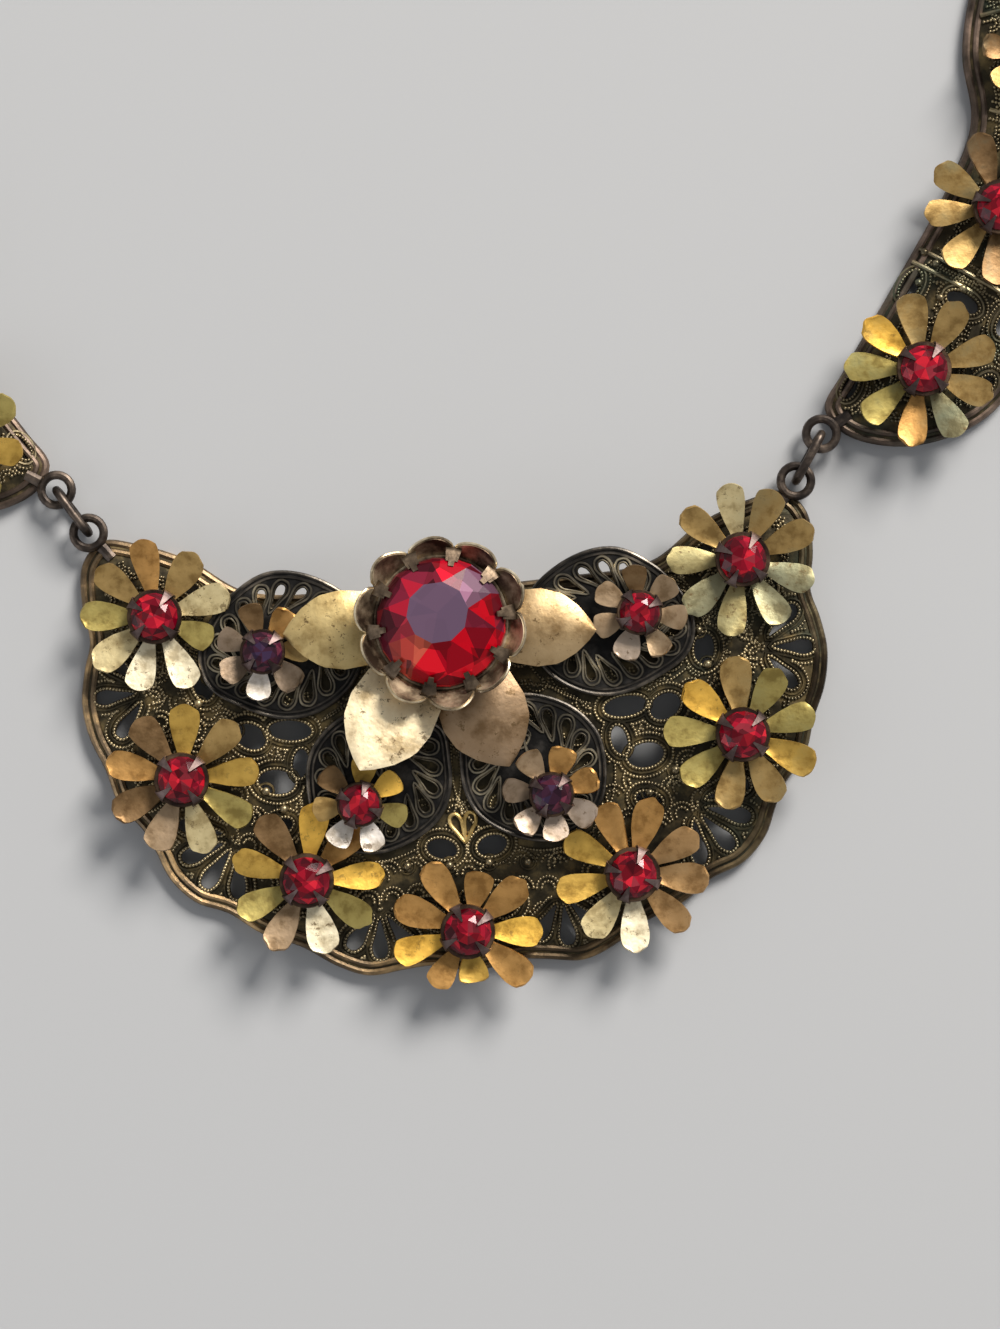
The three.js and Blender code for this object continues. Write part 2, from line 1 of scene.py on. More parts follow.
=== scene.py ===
import math
import random

import bmesh
import bpy
import numpy as np
from mathutils import Matrix, Vector


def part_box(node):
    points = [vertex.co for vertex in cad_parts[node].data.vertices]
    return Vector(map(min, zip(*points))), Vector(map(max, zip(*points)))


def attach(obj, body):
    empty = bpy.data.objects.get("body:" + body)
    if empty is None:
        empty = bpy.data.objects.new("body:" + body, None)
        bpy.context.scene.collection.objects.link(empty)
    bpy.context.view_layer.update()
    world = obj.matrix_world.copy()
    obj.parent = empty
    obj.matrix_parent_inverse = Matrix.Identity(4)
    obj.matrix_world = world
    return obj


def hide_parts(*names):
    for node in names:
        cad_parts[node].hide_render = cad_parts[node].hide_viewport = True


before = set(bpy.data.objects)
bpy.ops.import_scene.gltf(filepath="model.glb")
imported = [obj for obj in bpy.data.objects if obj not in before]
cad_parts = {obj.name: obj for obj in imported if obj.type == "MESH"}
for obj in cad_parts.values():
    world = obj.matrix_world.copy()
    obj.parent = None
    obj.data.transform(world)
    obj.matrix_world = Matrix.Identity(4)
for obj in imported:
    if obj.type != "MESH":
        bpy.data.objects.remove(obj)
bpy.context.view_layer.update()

scene = bpy.context.scene
MM = 0.001

# The viewer stands over the necklace and looks straight down, with the plaque turned a
# little clockwise in the view, which takes in 95 by 127 mm of the floor.
VIEW_MIDDLE = (4.4, -50.2)
VIEW_TALL = 126.57
VIEW_DISTANCE = 360
VIEW_PLANE = 2.5
VIEW_ROLL = -4.2
SENSOR = 36


def linked(name, data):
    made = bpy.data.objects.new(name, data)
    scene.collection.objects.link(made)
    return made


lens = bpy.data.cameras.new("camera")
lens.sensor_fit = "VERTICAL"
lens.sensor_height = SENSOR
lens.lens = SENSOR * VIEW_DISTANCE / VIEW_TALL
camera = linked("camera", lens)
camera.location = Vector((*VIEW_MIDDLE, VIEW_DISTANCE + VIEW_PLANE)) * MM
camera.rotation_euler.z = math.radians(VIEW_ROLL)
scene.camera = camera

# Soft studio light: one broad panel far off at the upper right, a faint one low at the left,
# both facing the plaque, and a pale even surround that is weaker overhead.
LIGHTS = [
    # name, place (mm), side (mm), watts, colour
    ("key", (972, 1332, 1188), 790, 78.0, (1.0, 0.965, 0.915)),
    ("fill", (-420, -200, 240), 300, 0.45, (0.92, 0.95, 1.0)),
]
PLAQUE_PLACE = Vector((0, -50, 0)) * MM
SURROUND = (0.94, 0.965, 1.0, 1)
SURROUND_LEVEL = 0.6
SURROUND_OVERHEAD = 0.3

for name, spot, side, watts, colour in LIGHTS:
    light = bpy.data.lights.new(name, "AREA")
    light.size = side * MM
    light.energy = watts
    light.color = colour
    lamp = linked(name, light)
    lamp.location = PLAQUE_PLACE + Vector(spot) * MM
    lamp.rotation_euler = (PLAQUE_PLACE - lamp.location).to_track_quat("-Z", "Y").to_euler()


def feed(tree, socket, value):
    """Gives an input another node's output, or else a constant."""
    if isinstance(value, bpy.types.NodeSocket):
        tree.links.new(value, socket)
    else:
        socket.default_value = value


def node(tree, kind, *inputs, **values):
    """Adds a shader node; a value goes to the setting of its name, or else to the input."""
    made = tree.nodes.new("ShaderNode" + kind)
    for key, value in values.items():
        if hasattr(made, key):
            setattr(made, key, value)
        else:
            feed(tree, made.inputs[key.replace("_", " ")], value)
    for socket, value in zip(made.inputs, inputs):
        feed(tree, socket, value)
    return made


def ranged(tree, value, start, end, low=0.0, high=1.0):
    """How far the value is from start to end, as a number from low to high."""
    return node(tree, "MapRange", value, start, end, low, high).outputs["Result"]


surround = bpy.data.worlds.new("surround")
surround.use_nodes = True
around = surround.node_tree
sky = around.nodes["Background"]
sky.inputs["Color"].default_value = SURROUND
height = node(around, "SeparateXYZ", node(around, "TexCoord").outputs["Generated"])
level = ranged(around, height.outputs["Z"], 0, 1, SURROUND_LEVEL, SURROUND_OVERHEAD)
around.links.new(level, sky.inputs["Strength"])
scene.world = surround
scene.view_settings.view_transform = "Standard"

# The floor is a plain pale matt sheet, three metres across.
FLOOR_TONE = (0.375, 0.377, 0.382, 1)
FLOOR_ROUGH = 0.9
FLOOR_HALF = 1.5


def new_finish(name, constants):
    """A material with constants on its shader, its node tree and that shader."""
    finish = bpy.data.materials.new(name)
    finish.use_nodes = True
    shader = finish.node_tree.nodes["Principled BSDF"]
    for socket, value in constants.items():
        shader.inputs[socket].default_value = value
    return finish, finish.node_tree, shader


floor_finish, *_ = new_finish("pale_floor", {"Base Color": FLOOR_TONE, "Roughness": FLOOR_ROUGH})
floor_bm = bmesh.new()
bmesh.ops.create_grid(floor_bm, x_segments=2, y_segments=2, size=FLOOR_HALF)
floor_mesh = bpy.data.meshes.new("floor")
floor_bm.to_mesh(floor_mesh)
floor_bm.free()
floor_mesh.materials.append(floor_finish)
floor = linked("floor", floor_mesh)

# The main plaque is one stamping of thin brass, pierced, gently domed and browned with age.
# Its border is doubled by two smooth wires, and the sheet lies between them and the middle.
TO_ROW = Matrix.Translation((-0.5 * MM, -45.4 * MM, 0)) @ Matrix.Scale(MM, 4)
MIDDLE = 0.5
SHEET_BOTTOM = 0.6
SHEET_TOP = 1.1
RIM_WIRES = [
    # inset, height, radius, sides
    (0.42, 0.42, 0.41, 2),
    (0.42, 1.02, 0.36, 2),
    (1.18, 1.32, 0.33, 2),
]
SHEET_INSET = 0.45
LINE_PITCH = 0.55
CUT_EVERY = 1.3
# height of the dome and how far in from the outline it is reached
PLAQUE_DOME = (1.6, 13)
PANEL_DOME = (1.2, 7.5)
PLAQUE_HALF = [
    # right half of the outline, from the lowest point to the highest
    (0, -33.9), (4.2, -33.1), (7.0, -33.3), (10.3, -33.6), (13.2, -32.5), (16.5, -30.4),
    (20.3, -28.8), (23.2, -26.7), (26.3, -25.4), (28.6, -23.0), (29.8, -20.2), (30.8, -18.2),
    (33.0, -15.4), (34.0, -12.2), (35.3, -9.0), (35.8, -5.6), (35.3, -2.4), (34.6, 0.2),
    (35.1, 3.8), (34.8, 7.6), (32.8, 9.8), (29.5, 9.3), (24.6, 7.4), (19.4, 4.0),
    (11.2, 3.2), (0, 2.9),
]
PLAQUE_FANS = [
    # x, y, aim, spread, count, start, length, width
    (21.6, -19.4, -34, 100, 4, 1.5, 4.5, 1.6),
    (29.2, -4.9, -4, 96, 3, 1.3, 4.0, 1.5),
    (8.7, -27.0, -86, 72, 3, 1.1, 4.0, 1.6),
]
PLAQUE_OVALS = [
    # x, y, aim, length, width
    (16.0, -9.6, 6, 4.2, 2.0),
    (19.8, -9.9, 30, 3.2, 2.4),
    (15.2, -12.8, 100, 2.8, 1.6),
    (17.6, -14.4, 10, 3.6, 2.4),
    (23.9, -4.7, 80, 3.0, 2.0),
    (17.6, -18.7, -20, 2.6, 1.5),
    (2.4, -21.9, 14, 3.0, 2.0),
    (24.6, 4.6, 40, 2.4, 1.2),
    (3.6, -28.0, 40, 2.4, 1.2),
    (29.6, -14.6, -40, 2.4, 1.2),
]
TEARDROP = [(0, 0), (0.4, 0.3), (0.75, 0.5), (0.97, 0.26)]
METALLIC = 0.85
SPECK_TONE = (0.13, 0.078, 0.032, 1)
VERDIGRIS = (0.085, 0.12, 0.085, 1)
VERDIGRIS_REACH = (0.012, 0.042)
# how far from the middle the painted side light reaches its full strength
SIDE_LIGHT_REACH = 0.03
PIT_DEPTH = 0.00012


def smooth_line(corners, steps, closed=True):
    """A centripetal curve through the corners."""
    points = [Vector(c) for c in corners]
    if not closed:
        points = [2 * points[0] - points[1], *points, 2 * points[-1] - points[-2]]
    count = len(points)
    spans = range(count) if closed else range(1, count - 2)
    line = []
    for i in spans:
        a, b, c, d = (points[(i + k - 1) % count] for k in range(4))
        ab, bc, cd = ((q - p).length ** 0.5 for p, q in ((a, b), (b, c), (c, d)))
        leave = ((b - a) / ab - (c - a) / (ab + bc) + (c - b) / bc) * bc
        arrive = ((c - b) / bc - (d - b) / (bc + cd) + (d - c) / cd) * bc
        for s in range(steps):
            t = s / steps
            h1, h2 = 2 * t**3 - 3 * t**2 + 1, t**3 - 2 * t**2 + t
            h3, h4 = 3 * t**2 - 2 * t**3, t**3 - t**2
            line.append(tuple(b * h1 + leave * h2 + c * h3 + arrive * h4))
    if not closed:
        line.append(tuple(points[-2]))
    return np.array(line)


def run_along(line):
    """How far along the line each of its points lies."""
    return np.concatenate([[0], np.cumsum(np.linalg.norm(np.diff(line, axis=0), axis=1))])


def evenly(line, pitch, closed=True):
    """The same line with points one pitch apart, or a little more or less."""
    line = np.asarray(line, dtype=float)
    ends = np.vstack([line, line[:1]]) if closed else line
    run = run_along(ends)
    count = max(int(round(run[-1] / pitch)), 2)
    at = np.linspace(0, run[-1], count + 1)
    at = at[:-1] if closed else at
    return np.stack([np.interp(at, run, ends[:, k]) for k in range(ends.shape[1])], axis=1)


def inset(line, distance):
    """A closed counter-clockwise line moved inward."""
    along = np.roll(line, -1, axis=0) - np.roll(line, 1, axis=0)
    along /= np.linalg.norm(along, axis=1)[:, None]
    return line + distance * np.stack([-along[:, 1], along[:, 0]], axis=1)


def inside(points, line):
    after = np.roll(line, -1, axis=0)
    x, y = points[:, 0, None], points[:, 1, None]
    crosses = (line[:, 1] > y) != (after[:, 1] > y)
    rise = np.where(after[:, 1] == line[:, 1], 1e-9, after[:, 1] - line[:, 1])
    left = x < line[:, 0] + (y - line[:, 1]) * (after[:, 0] - line[:, 0]) / rise
    return (np.count_nonzero(crosses & left, axis=1) % 2).astype(bool)


def distance_to(points, line):
    step = np.roll(line, -1, axis=0) - line
    away = points[:, None, :2] - line[None]
    t = np.clip((away * step).sum(-1) / (step**2).sum(-1), 0, 1)
    return np.linalg.norm(away - t[..., None] * step, axis=-1).min(axis=1)


def dome_height(points, line, dome):
    """How far the dome lifts each point of the sheet within the line."""
    height, reach = dome
    inward = np.minimum(distance_to(points, line) / reach, 1)
    return np.where(inside(points, line), height * (1 - (1 - inward) ** 2), 0)


def placed(x, y, aim, along, across):
    """The place that lies along and across an aim (degrees) from x, y."""
    c, s = math.cos(math.radians(aim)), math.sin(math.radians(aim))
    return (x + c * along - s * across, y + s * along + c * across)


def teardrop(x, y, aim, length, width):
    right = [placed(x, y, aim, a * length, -w * width) for a, w in TEARDROP]
    left = [placed(x, y, aim, a * length, w * width) for a, w in TEARDROP[1:]]
    return smooth_line(right + left[::-1], 4)


def oval(x, y, aim, length, width, count=20):
    turns = [2 * math.pi * i / count for i in range(count)]
    reach = [(math.cos(t) * length / 2, math.sin(t) * width / 2) for t in turns]
    return np.array([placed(x, y, aim, *spot) for spot in reach])


def fan(x, y, aim, spread, count, start, length, width):
    turns = [aim + spread * (i / (count - 1) - 0.5) for i in range(count)]
    return [teardrop(*placed(x, y, t, start, 0), t, length, width) for t in turns]


def across(line, middle):
    """The line's mirror image, run the other way round."""
    other = line[::-1].copy()
    other[:, 0] = 2 * middle - other[:, 0]
    return other


def stood(x, y, z, turn):
    """The matrix that turns a piece by an angle and stands it at x, y, z."""
    return Matrix.Translation((x, y, z)) @ Matrix.Rotation(turn, 4, "Z")


def on_side(x, side):
    """The same x on the right (1) or the left (-1) half of the necklace."""
    return x if side > 0 else 2 * MIDDLE - x


def curve_into(bm, lines, closed=True, radius=0.0, sides=1, fill=None):
    """Adds round wire along the lines, or a filled sheet where fill gives its half thickness."""
    curve = bpy.data.curves.new("line", "CURVE")
    curve.dimensions = "3D" if fill is None else "2D"
    curve.bevel_depth = radius
    curve.bevel_resolution = sides
    curve.use_fill_caps = True
    if fill is not None:
        curve.fill_mode = "BOTH"
        curve.extrude = fill - radius
    for line in lines:
        line = np.asarray(line)
        spline = curve.splines.new("POLY")
        spline.points.add(len(line) - 1)
        four = np.tile((0.0, 0.0, 0.0, 1.0), (len(line), 1))
        four[:, : line.shape[1]] = line
        spline.points.foreach_set("co", four.ravel())
        spline.use_cyclic_u = closed
    holder = bpy.data.objects.new("line", curve)
    mesh = bpy.data.meshes.new_from_object(holder)
    bm.from_mesh(mesh)
    bpy.data.objects.remove(holder)
    bpy.data.curves.remove(curve)
    bpy.data.meshes.remove(mesh)


def pierced_sheet(line, openings, bottom, top, lift=None):
    """A filled sheet with openings, cut crosswise so that it can follow a dome."""
    bm = bmesh.new()
    curve_into(bm, [line, *openings], radius=0.06, sides=0, fill=(top - bottom) / 2)
    bmesh.ops.remove_doubles(bm, verts=bm.verts, dist=0.002)
    bmesh.ops.recalc_face_normals(bm, faces=bm.faces)
    low, high = line.min(axis=0), line.max(axis=0)
    for axis in (0, 1):
        for at in np.arange(low[axis] + CUT_EVERY / 2, high[axis], CUT_EVERY):
            everything = bm.verts[:] + bm.edges[:] + bm.faces[:]
            point = [0, 0, 0]
            point[axis] = at
            normal = [0, 0, 0]
            normal[axis] = 1
            bmesh.ops.bisect_plane(bm, geom=everything, plane_co=point, plane_no=normal)
    bmesh.ops.translate(bm, verts=bm.verts, vec=(0, 0, (bottom + top) / 2))
    if lift is not None:
        flat = np.array([v.co[:2] for v in bm.verts])
        for vert, rise in zip(bm.verts, lift(flat)):
            vert.co.z += rise
    return bm


def add_piece(name, bm, finish, slot, *nodes, sharp=35, put=None):
    """Makes the piece of a mesh drawn in millimetres, and lets it ride with the necklace."""
    if put is not None:
        bmesh.ops.transform(bm, matrix=put, verts=bm.verts)
    mesh = bpy.data.meshes.new(name)
    bm.to_mesh(mesh)
    bm.free()
    add_mesh(name, mesh, finish, slot, *nodes, sharp=sharp)


def add_mesh(name, mesh, finish, slot, *nodes, sharp=35):
    """The same for a mesh; the nodes are the CAD pieces that it replaces."""
    mesh.transform(TO_ROW)
    mesh.materials.append(finish)
    mesh.polygons.foreach_set("use_smooth", [True] * len(mesh.polygons))
    mesh.set_sharp_from_angle(angle=math.radians(sharp))
    piece = linked(name, mesh)
    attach(piece, "root")
    if nodes:
        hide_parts(*nodes)


def noise(tree, scale, detail, roughness=0.5):
    """Noise that keeps to the object's own coordinates."""
    own = node(tree, "TexCoord").outputs["Object"]
    made = node(tree, "TexNoise", Vector=own, Scale=scale, Detail=detail, Roughness=roughness)
    return made.outputs["Fac"]


def times(tree, first, second):
    return node(tree, "Math", first, second, operation="MULTIPLY").outputs[0]


def mixed(tree, share, first, second, blend="MIX"):
    made = node(tree, "Mix", share, data_type="RGBA", blend_type=blend)
    feed(tree, made.inputs[6], first)
    feed(tree, made.inputs[7], second)
    return made.outputs[2]


def aged_metal(
    name, deep, base, bright, rough, grain=420, specks=0.0, green=0.0, bump=0.25,
    spread=0.18, side_light=None,
):
    """Brass or bronze with a browned patina, dark specks and, to one side, verdigris.

    The patina's tones are deep, base and bright, a low spread sets them apart sharply, and
    the strengths given for the plaque's left and right end scale the colour: painted light,
    brighter to the left as a painted highlight, darker to the right as painted shade.
    Specks need the attribute "tint".
    """
    finish, tree, shader = new_finish(name, {"Metallic": METALLIC})
    patina = noise(tree, grain, 6.0, 0.62)
    ramp = node(tree, "ValToRGB", patina)
    stops = ramp.color_ramp.elements
    stops[0].position, stops[0].color = 0.5 - spread, (*deep, 1)
    stops[1].position, stops[1].color = 0.5 + spread, (*bright, 1)
    middle = stops.new(0.5)
    middle.color = (*base, 1)
    colour = ramp.outputs["Color"]
    if specks:
        tint = node(tree, "Attribute", attribute_name="tint")
        colour = mixed(tree, 1.0, colour, tint.outputs["Color"], "MULTIPLY")
        limit = 0.66 - 0.06 * specks
        dust = ranged(tree, noise(tree, 1050.0, 5.0, 0.78), limit, limit + 0.04, 0, 0.8)
        colour = mixed(tree, times(tree, dust, tint.outputs["Alpha"]), colour, SPECK_TONE)
    place_x = node(tree, "SeparateXYZ", node(tree, "TexCoord").outputs["Object"]).outputs["X"]
    # Painted light: the colour is scaled brighter towards the left end, a painted highlight, and
    # darker towards the right, painted shade.
    if side_light:
        level = ranged(tree, place_x, -SIDE_LIGHT_REACH, SIDE_LIGHT_REACH, *side_light)
        side_lit = node(tree, "VectorMath", colour, operation="SCALE", Scale=level)
        colour = side_lit.outputs[0]
    if green:
        side = ranged(tree, place_x, *VERDIGRIS_REACH)
        crust = ranged(tree, noise(tree, 260.0, 5.0, 0.6), 0.5, 0.68)
        colour = mixed(tree, times(tree, times(tree, crust, side), green), colour, VERDIGRIS)
    wear = ranged(tree, patina, 0, 1, rough - 0.1, rough + 0.18)
    pits = noise(tree, 1900.0, 4.0)
    relief = node(tree, "Bump", Strength=bump, Distance=PIT_DEPTH, Height=pits)
    looks = {"Base Color": colour, "Roughness": wear, "Normal": relief.outputs["Normal"]}
    for socket, value in looks.items():
        tree.links.new(value, shader.inputs[socket])
    return finish


# Each bronze below is painted brighter at the plaque's left end and darker at its right, painted
# light.
field_bronze = aged_metal(
    "field_bronze", (0.016, 0.013, 0.008), (0.045, 0.036, 0.02), (0.16, 0.115, 0.05), 0.45,
    green=0.35, side_light=(1.25, 0.9),
)
rim_bronze = aged_metal(
    "rim_bronze", (0.035, 0.025, 0.016), (0.095, 0.065, 0.036), (0.32, 0.21, 0.1), 0.36,
    grain=260, green=0.4, side_light=(1.9, 0.5),
)
bead_bronze = aged_metal(
    "bead_bronze", (0.065, 0.053, 0.032), (0.2, 0.16, 0.095), (0.46, 0.37, 0.21), 0.32,
    grain=240, green=0.6, side_light=(1.35, 0.85),
)

half = PLAQUE_HALF + [(-x, y) for x, y in PLAQUE_HALF[-2:0:-1]]
plaque_line = evenly(smooth_line([(MIDDLE + x, y) for x, y in half], 8), LINE_PITCH)


def plaque_lift(points):
    return dome_height(points, plaque_line, PLAQUE_DOME)


right_holes = [hole for f in PLAQUE_FANS for hole in fan(f[0] + MIDDLE, *f[1:])]
right_holes += [oval(x + MIDDLE, *rest) for x, *rest in PLAQUE_OVALS]
plaque_holes = right_holes + [across(hole, MIDDLE) for hole in right_holes]
sheet = pierced_sheet(
    inset(plaque_line, SHEET_INSET), plaque_holes, SHEET_BOTTOM, SHEET_TOP, plaque_lift,
)
add_piece("plaque_sheet", sheet, field_bronze, "bronze", "plaque_filigree")


def with_height(line, level, lift=None):
    """A flat line raised to a level, and by the dome's lift where there is one."""
    rise = lift(line) if lift is not None else 0
    return np.column_stack([line, np.full(len(line), level) + rise])


def raised(lines, level, lift=None):
    return [with_height(line, level, lift) for line in lines]


def wires_along(line, wires):
    bm = bmesh.new()
    for distance, level, radius, sides in wires:
        curve_into(bm, [with_height(inset(line, distance), level)], radius=radius, sides=sides)
    return bm


add_piece("plaque_rim", wires_along(plaque_line, RIM_WIRES), rim_bronze, "bronze")

# The plaque's ears: a ring of wire with a short lug, soldered to each upper corner, and
# the same at both ends of the side panels.
WIRE = 0.42
LINK_LEVEL = 1.7
EYE_RADIUS = 1.45
# x and y of the ring, then of the place on the rim that carries it
EAR_EYE = (34.35, 10.6, 33.0, 8.9)
PANEL_EYES = [(37.1, 14.9, 39.6, 16.4), (60.5, 66.2, 60.3, 62.8)]
LUG_RADIUS = 0.62
LUG_DROP = 0.45
LUG_RUN = (EYE_RADIUS, 2.4, 3.3)
dark_wire = aged_metal(
    "dark_wire", (0.02, 0.016, 0.014), (0.055, 0.042, 0.034), (0.17, 0.13, 0.1), 0.38, grain=500,
)


def eye_into(bm, x, y, root_x, root_y, side):
    ring = oval(x, y, 0, 2 * EYE_RADIUS, 2 * EYE_RADIUS, 28)
    aim = math.degrees(math.atan2(root_y - y, root_x - x))
    lug = np.array([placed(x, y, aim, r, 0) for r in LUG_RUN])
    if side < 0:
        ring, lug = across(ring, MIDDLE), across(lug, MIDDLE)
    curve_into(bm, [with_height(ring, LINK_LEVEL)], radius=WIRE, sides=3)
    lug = with_height(lug, LINK_LEVEL - LUG_DROP)
    curve_into(bm, [lug], closed=False, radius=LUG_RADIUS, sides=3)


ears = bmesh.new()
for side in (1, -1):
    eye_into(ears, *EAR_EYE, side)
add_piece("plaque_ears", ears, dark_wire, "bronze")

# The openwork's drawing: beaded wires round every opening, rows of small beaded scales
# that follow the border, fine smooth wires, and single round granules.
BEAD = 0.185
BEAD_PITCH = 0.32
GRANULE = 0.45
RIM_WIDTH = 1.6
HOLE_BEADS = 0.1
HOLE_WIRE = 0.48
HOLE_SECOND = 0.9
FINE_RADIUS = 0.15
COLLAR = 1.5
SMALLER = 0.55
PLAQUE_GRANULES = [
    (-1.3, -23.5), (2.5, -23.5), (6.2, -23.7), (-5.3, -23.3), (18.2, -18.0), (20.8, -16.0),
    (24.0, -2.9), (24.6, -6.2), (-18.2, -15.2), (-16.6, -17.0), (12.8, -24.0), (-22.8, -4.0),
    (-24.0, -6.4), (22.4, -12.9), (-20.6, -9.2),
]
SCALE_ROWS = [
    # inset from the outline, pitch, radius
    (2.5, 1.9, 0.85),
    (4.6, 2.3, 1.0),
    (7.0, 2.5, 1.1),
    (9.5, 2.6, 1.15),
    (12.2, 2.8, 1.2),
    (15.0, 2.8, 1.2),
]


def scale_row(line, distance, pitch, radius):
    """Arcs side by side along the outline, each bulging away from it, round a smaller one."""
    run = evenly(inset(evenly(line, 2.0), distance), pitch)
    arcs = []
    for i, spot in enumerate(run):
        along = run[(i + 1) % len(run)] - run[i - 1]
        if np.linalg.norm(along) < pitch:
            continue
        start = math.degrees(math.atan2(along[1], along[0]))
        turns = [start + t for t in range(0, 181, 15)]
        for r in (radius, radius * SMALLER):
            arcs.append([placed(*spot, t, r, 0) for t in turns])
    return arcs


def keep_on_metal(points, line, holes, margin):
    """The points that are clear of the rim, and of every opening by the margin."""
    keep = inside(points, line) & (distance_to(points, line) > RIM_WIDTH)
    for hole in holes:
        keep &= ~inside(points, hole) & (distance_to(points, hole) > margin)
    return points[keep]


def beads_mesh(name, centres, radii):
    """Every bead is the same small ball of twenty faces, set at its place."""
    ball = bmesh.new()
    bmesh.ops.create_icosphere(ball, subdivisions=1, radius=1)
    corners = np.array([v.co[:] for v in ball.verts])
    faces = np.array([[v.index for v in f.verts] for f in ball.faces])
    ball.free()
    verts = centres[:, None] + np.asarray(radii)[:, None, None] * corners
    tris = faces + (np.arange(len(centres)) * len(corners))[:, None, None]
    mesh = bpy.data.meshes.new(name)
    mesh.from_pydata(verts.reshape(-1, 3), [], tris.reshape(-1, 3))
    return mesh


def beaded(name, line, holes, rows, granules, lift, extra):
    """Two lines of beads round every opening, the rows of scales and the granules."""
    points = np.vstack([evenly(inset(hole, -HOLE_BEADS), BEAD_PITCH) for hole in holes])
    second = np.vstack([evenly(inset(hole, -HOLE_SECOND), BEAD_PITCH) for hole in holes])
    second = keep_on_metal(second, line, holes, margin=0.78)
    drawn = [arc for row in rows for arc in scale_row(line, *row)] + extra
    scales = np.vstack([evenly(path, BEAD_PITCH, closed=False) for path in drawn])
    scales = keep_on_metal(scales, line, holes, margin=1.1)
    points = np.vstack([points[inside(points, line)], second, scales])
    balls = np.array(granules, dtype=float)
    centres = np.vstack([
        with_height(points, SHEET_TOP + 0.08, lift), with_height(balls, SHEET_TOP + 0.2, lift),
    ])
    radii = [BEAD] * len(points) + [GRANULE] * len(balls)
    add_mesh(name, beads_mesh(name, centres, radii), bead_bronze, "bronze", sharp=80)


# Lobe shapes are needed here too, because a beaded line echoes each of them on the sheet.
UPPER_LOBE = [
    (8.2, 1.9), (7.4, -1.6), (9.2, -5.8), (12.6, -8.1), (16.0, -8.5), (20.1, -7.0),
    (22.9, -5.0), (23.7, -2.2), (22.6, 1.0), (20.3, 3.6), (16.6, 5.6), (12.4, 5.0),
]
LOWER_LOBE = [
    (6.6, -7.6), (3.6, -8.9), (0.9, -10.4), (0.4, -13.4), (0.6, -16.6), (1.8, -19.0),
    (4.4, -20.9), (7.8, -21.9), (11.2, -21.2), (13.6, -18.6), (14.3, -15.4), (13.8, -11.9),
    (11.2, -9.0),
]
LOBE_PITCH = 0.4
LOBE_ECHO = 0.8
lobe_lines = {}
for word, corners in (("upper", UPPER_LOBE), ("lower", LOWER_LOBE)):
    lobe_lines[word, "right"] = evenly(smooth_line(corners, 8), LOBE_PITCH)
    lobe_lines[word, "left"] = across(lobe_lines[word, "right"], 0)
echoes = [inset(line, -LOBE_ECHO) for line in lobe_lines.values()]
echoes = [np.vstack([echo, echo[:1]]) for echo in echoes]
beaded(
    "plaque_beading", plaque_line, plaque_holes, SCALE_ROWS, PLAQUE_GRANULES, plaque_lift, echoes,
)

fine = bmesh.new()
round_holes = [inset(hole, -HOLE_WIRE) for hole in plaque_holes]
round_holes = [evenly(k, 0.5) for k in raised(round_holes, SHEET_TOP + 0.02, plaque_lift)]
curve_into(fine, round_holes, radius=FINE_RADIUS)
collars = [oval(x, y, 0, COLLAR, COLLAR, 12) for x, y in PLAQUE_GRANULES]
curve_into(fine, raised(collars, SHEET_TOP + 0.05, plaque_lift), radius=0.13)
add_piece("plaque_fine_wire", fine, field_bronze, "bronze")

# A small gilt ornament of two leaves stands in the gap between the lower lobes.
ORNAMENT_ROOT = (0.4, -21.4)
ORNAMENT_AIMS = (74, 112)
gilt_wire = aged_metal("gilt_wire", (0.2, 0.13, 0.04), (0.5, 0.34, 0.12), (0.8, 0.6, 0.28), 0.3)
ornament = bmesh.new()
sprigs = [teardrop(*ORNAMENT_ROOT, aim, 2.9, 1.1) for aim in ORNAMENT_AIMS]
curve_into(ornament, raised(sprigs, SHEET_TOP + 0.2, plaque_lift), radius=0.2, sides=2)
add_piece("plaque_ornament", ornament, gilt_wire, "gilt")

# Four blackened filigree lobes lie on the plaque: a thin pierced sheet edged by a double
# smooth wire, with fronds of fine loops on both sides of a spine. The sheet's near-black is
# partly the blackened metal and partly painted shade, the shadow seen through the openwork
# between the wires.
LOBE_BOTTOM = 3.0
LOBE_TOP = 3.4
SPINES = {
    # from, to
    "upper": ((9.6, -1.9), (20.6, -1.3)),
    "lower": ((6.3, -10.6), (8.2, -19.6)),
}
LOOP_PITCH = 2.25
LOOP_INSET = 1.0
LOOP_LONG = 3.5
LOOP_WIDE = 1.6
LOOP_LEAN = 26
# a loop's opening: from its root, how much shorter and how much slimmer than the loop
LOOP_HOLE = (0.5, 0.9, 0.66)
CORE_OVAL = (60, 1.8, 0.9)
LOBE_EDGES = [(0.2, LOBE_TOP - 0.06, 0.2, 2), (0.66, LOBE_TOP, 0.14, 1)]
# near-black: blackened metal, and painted shade where the openwork between the wires would show
# shadow
black_and_shade_sheet = aged_metal(
    "black_and_shade_sheet", (0.006, 0.006, 0.006), (0.014, 0.013, 0.012), (0.05, 0.045, 0.04), 0.45,
)
black_wire = aged_metal(
    "black_wire", (0.045, 0.04, 0.03), (0.175, 0.15, 0.11), (0.5, 0.43, 0.3), 0.3, grain=260,
)
black_edge = aged_metal(
    "black_edge", (0.022, 0.02, 0.017), (0.06, 0.052, 0.043), (0.24, 0.2, 0.155), 0.34, grain=260,
)

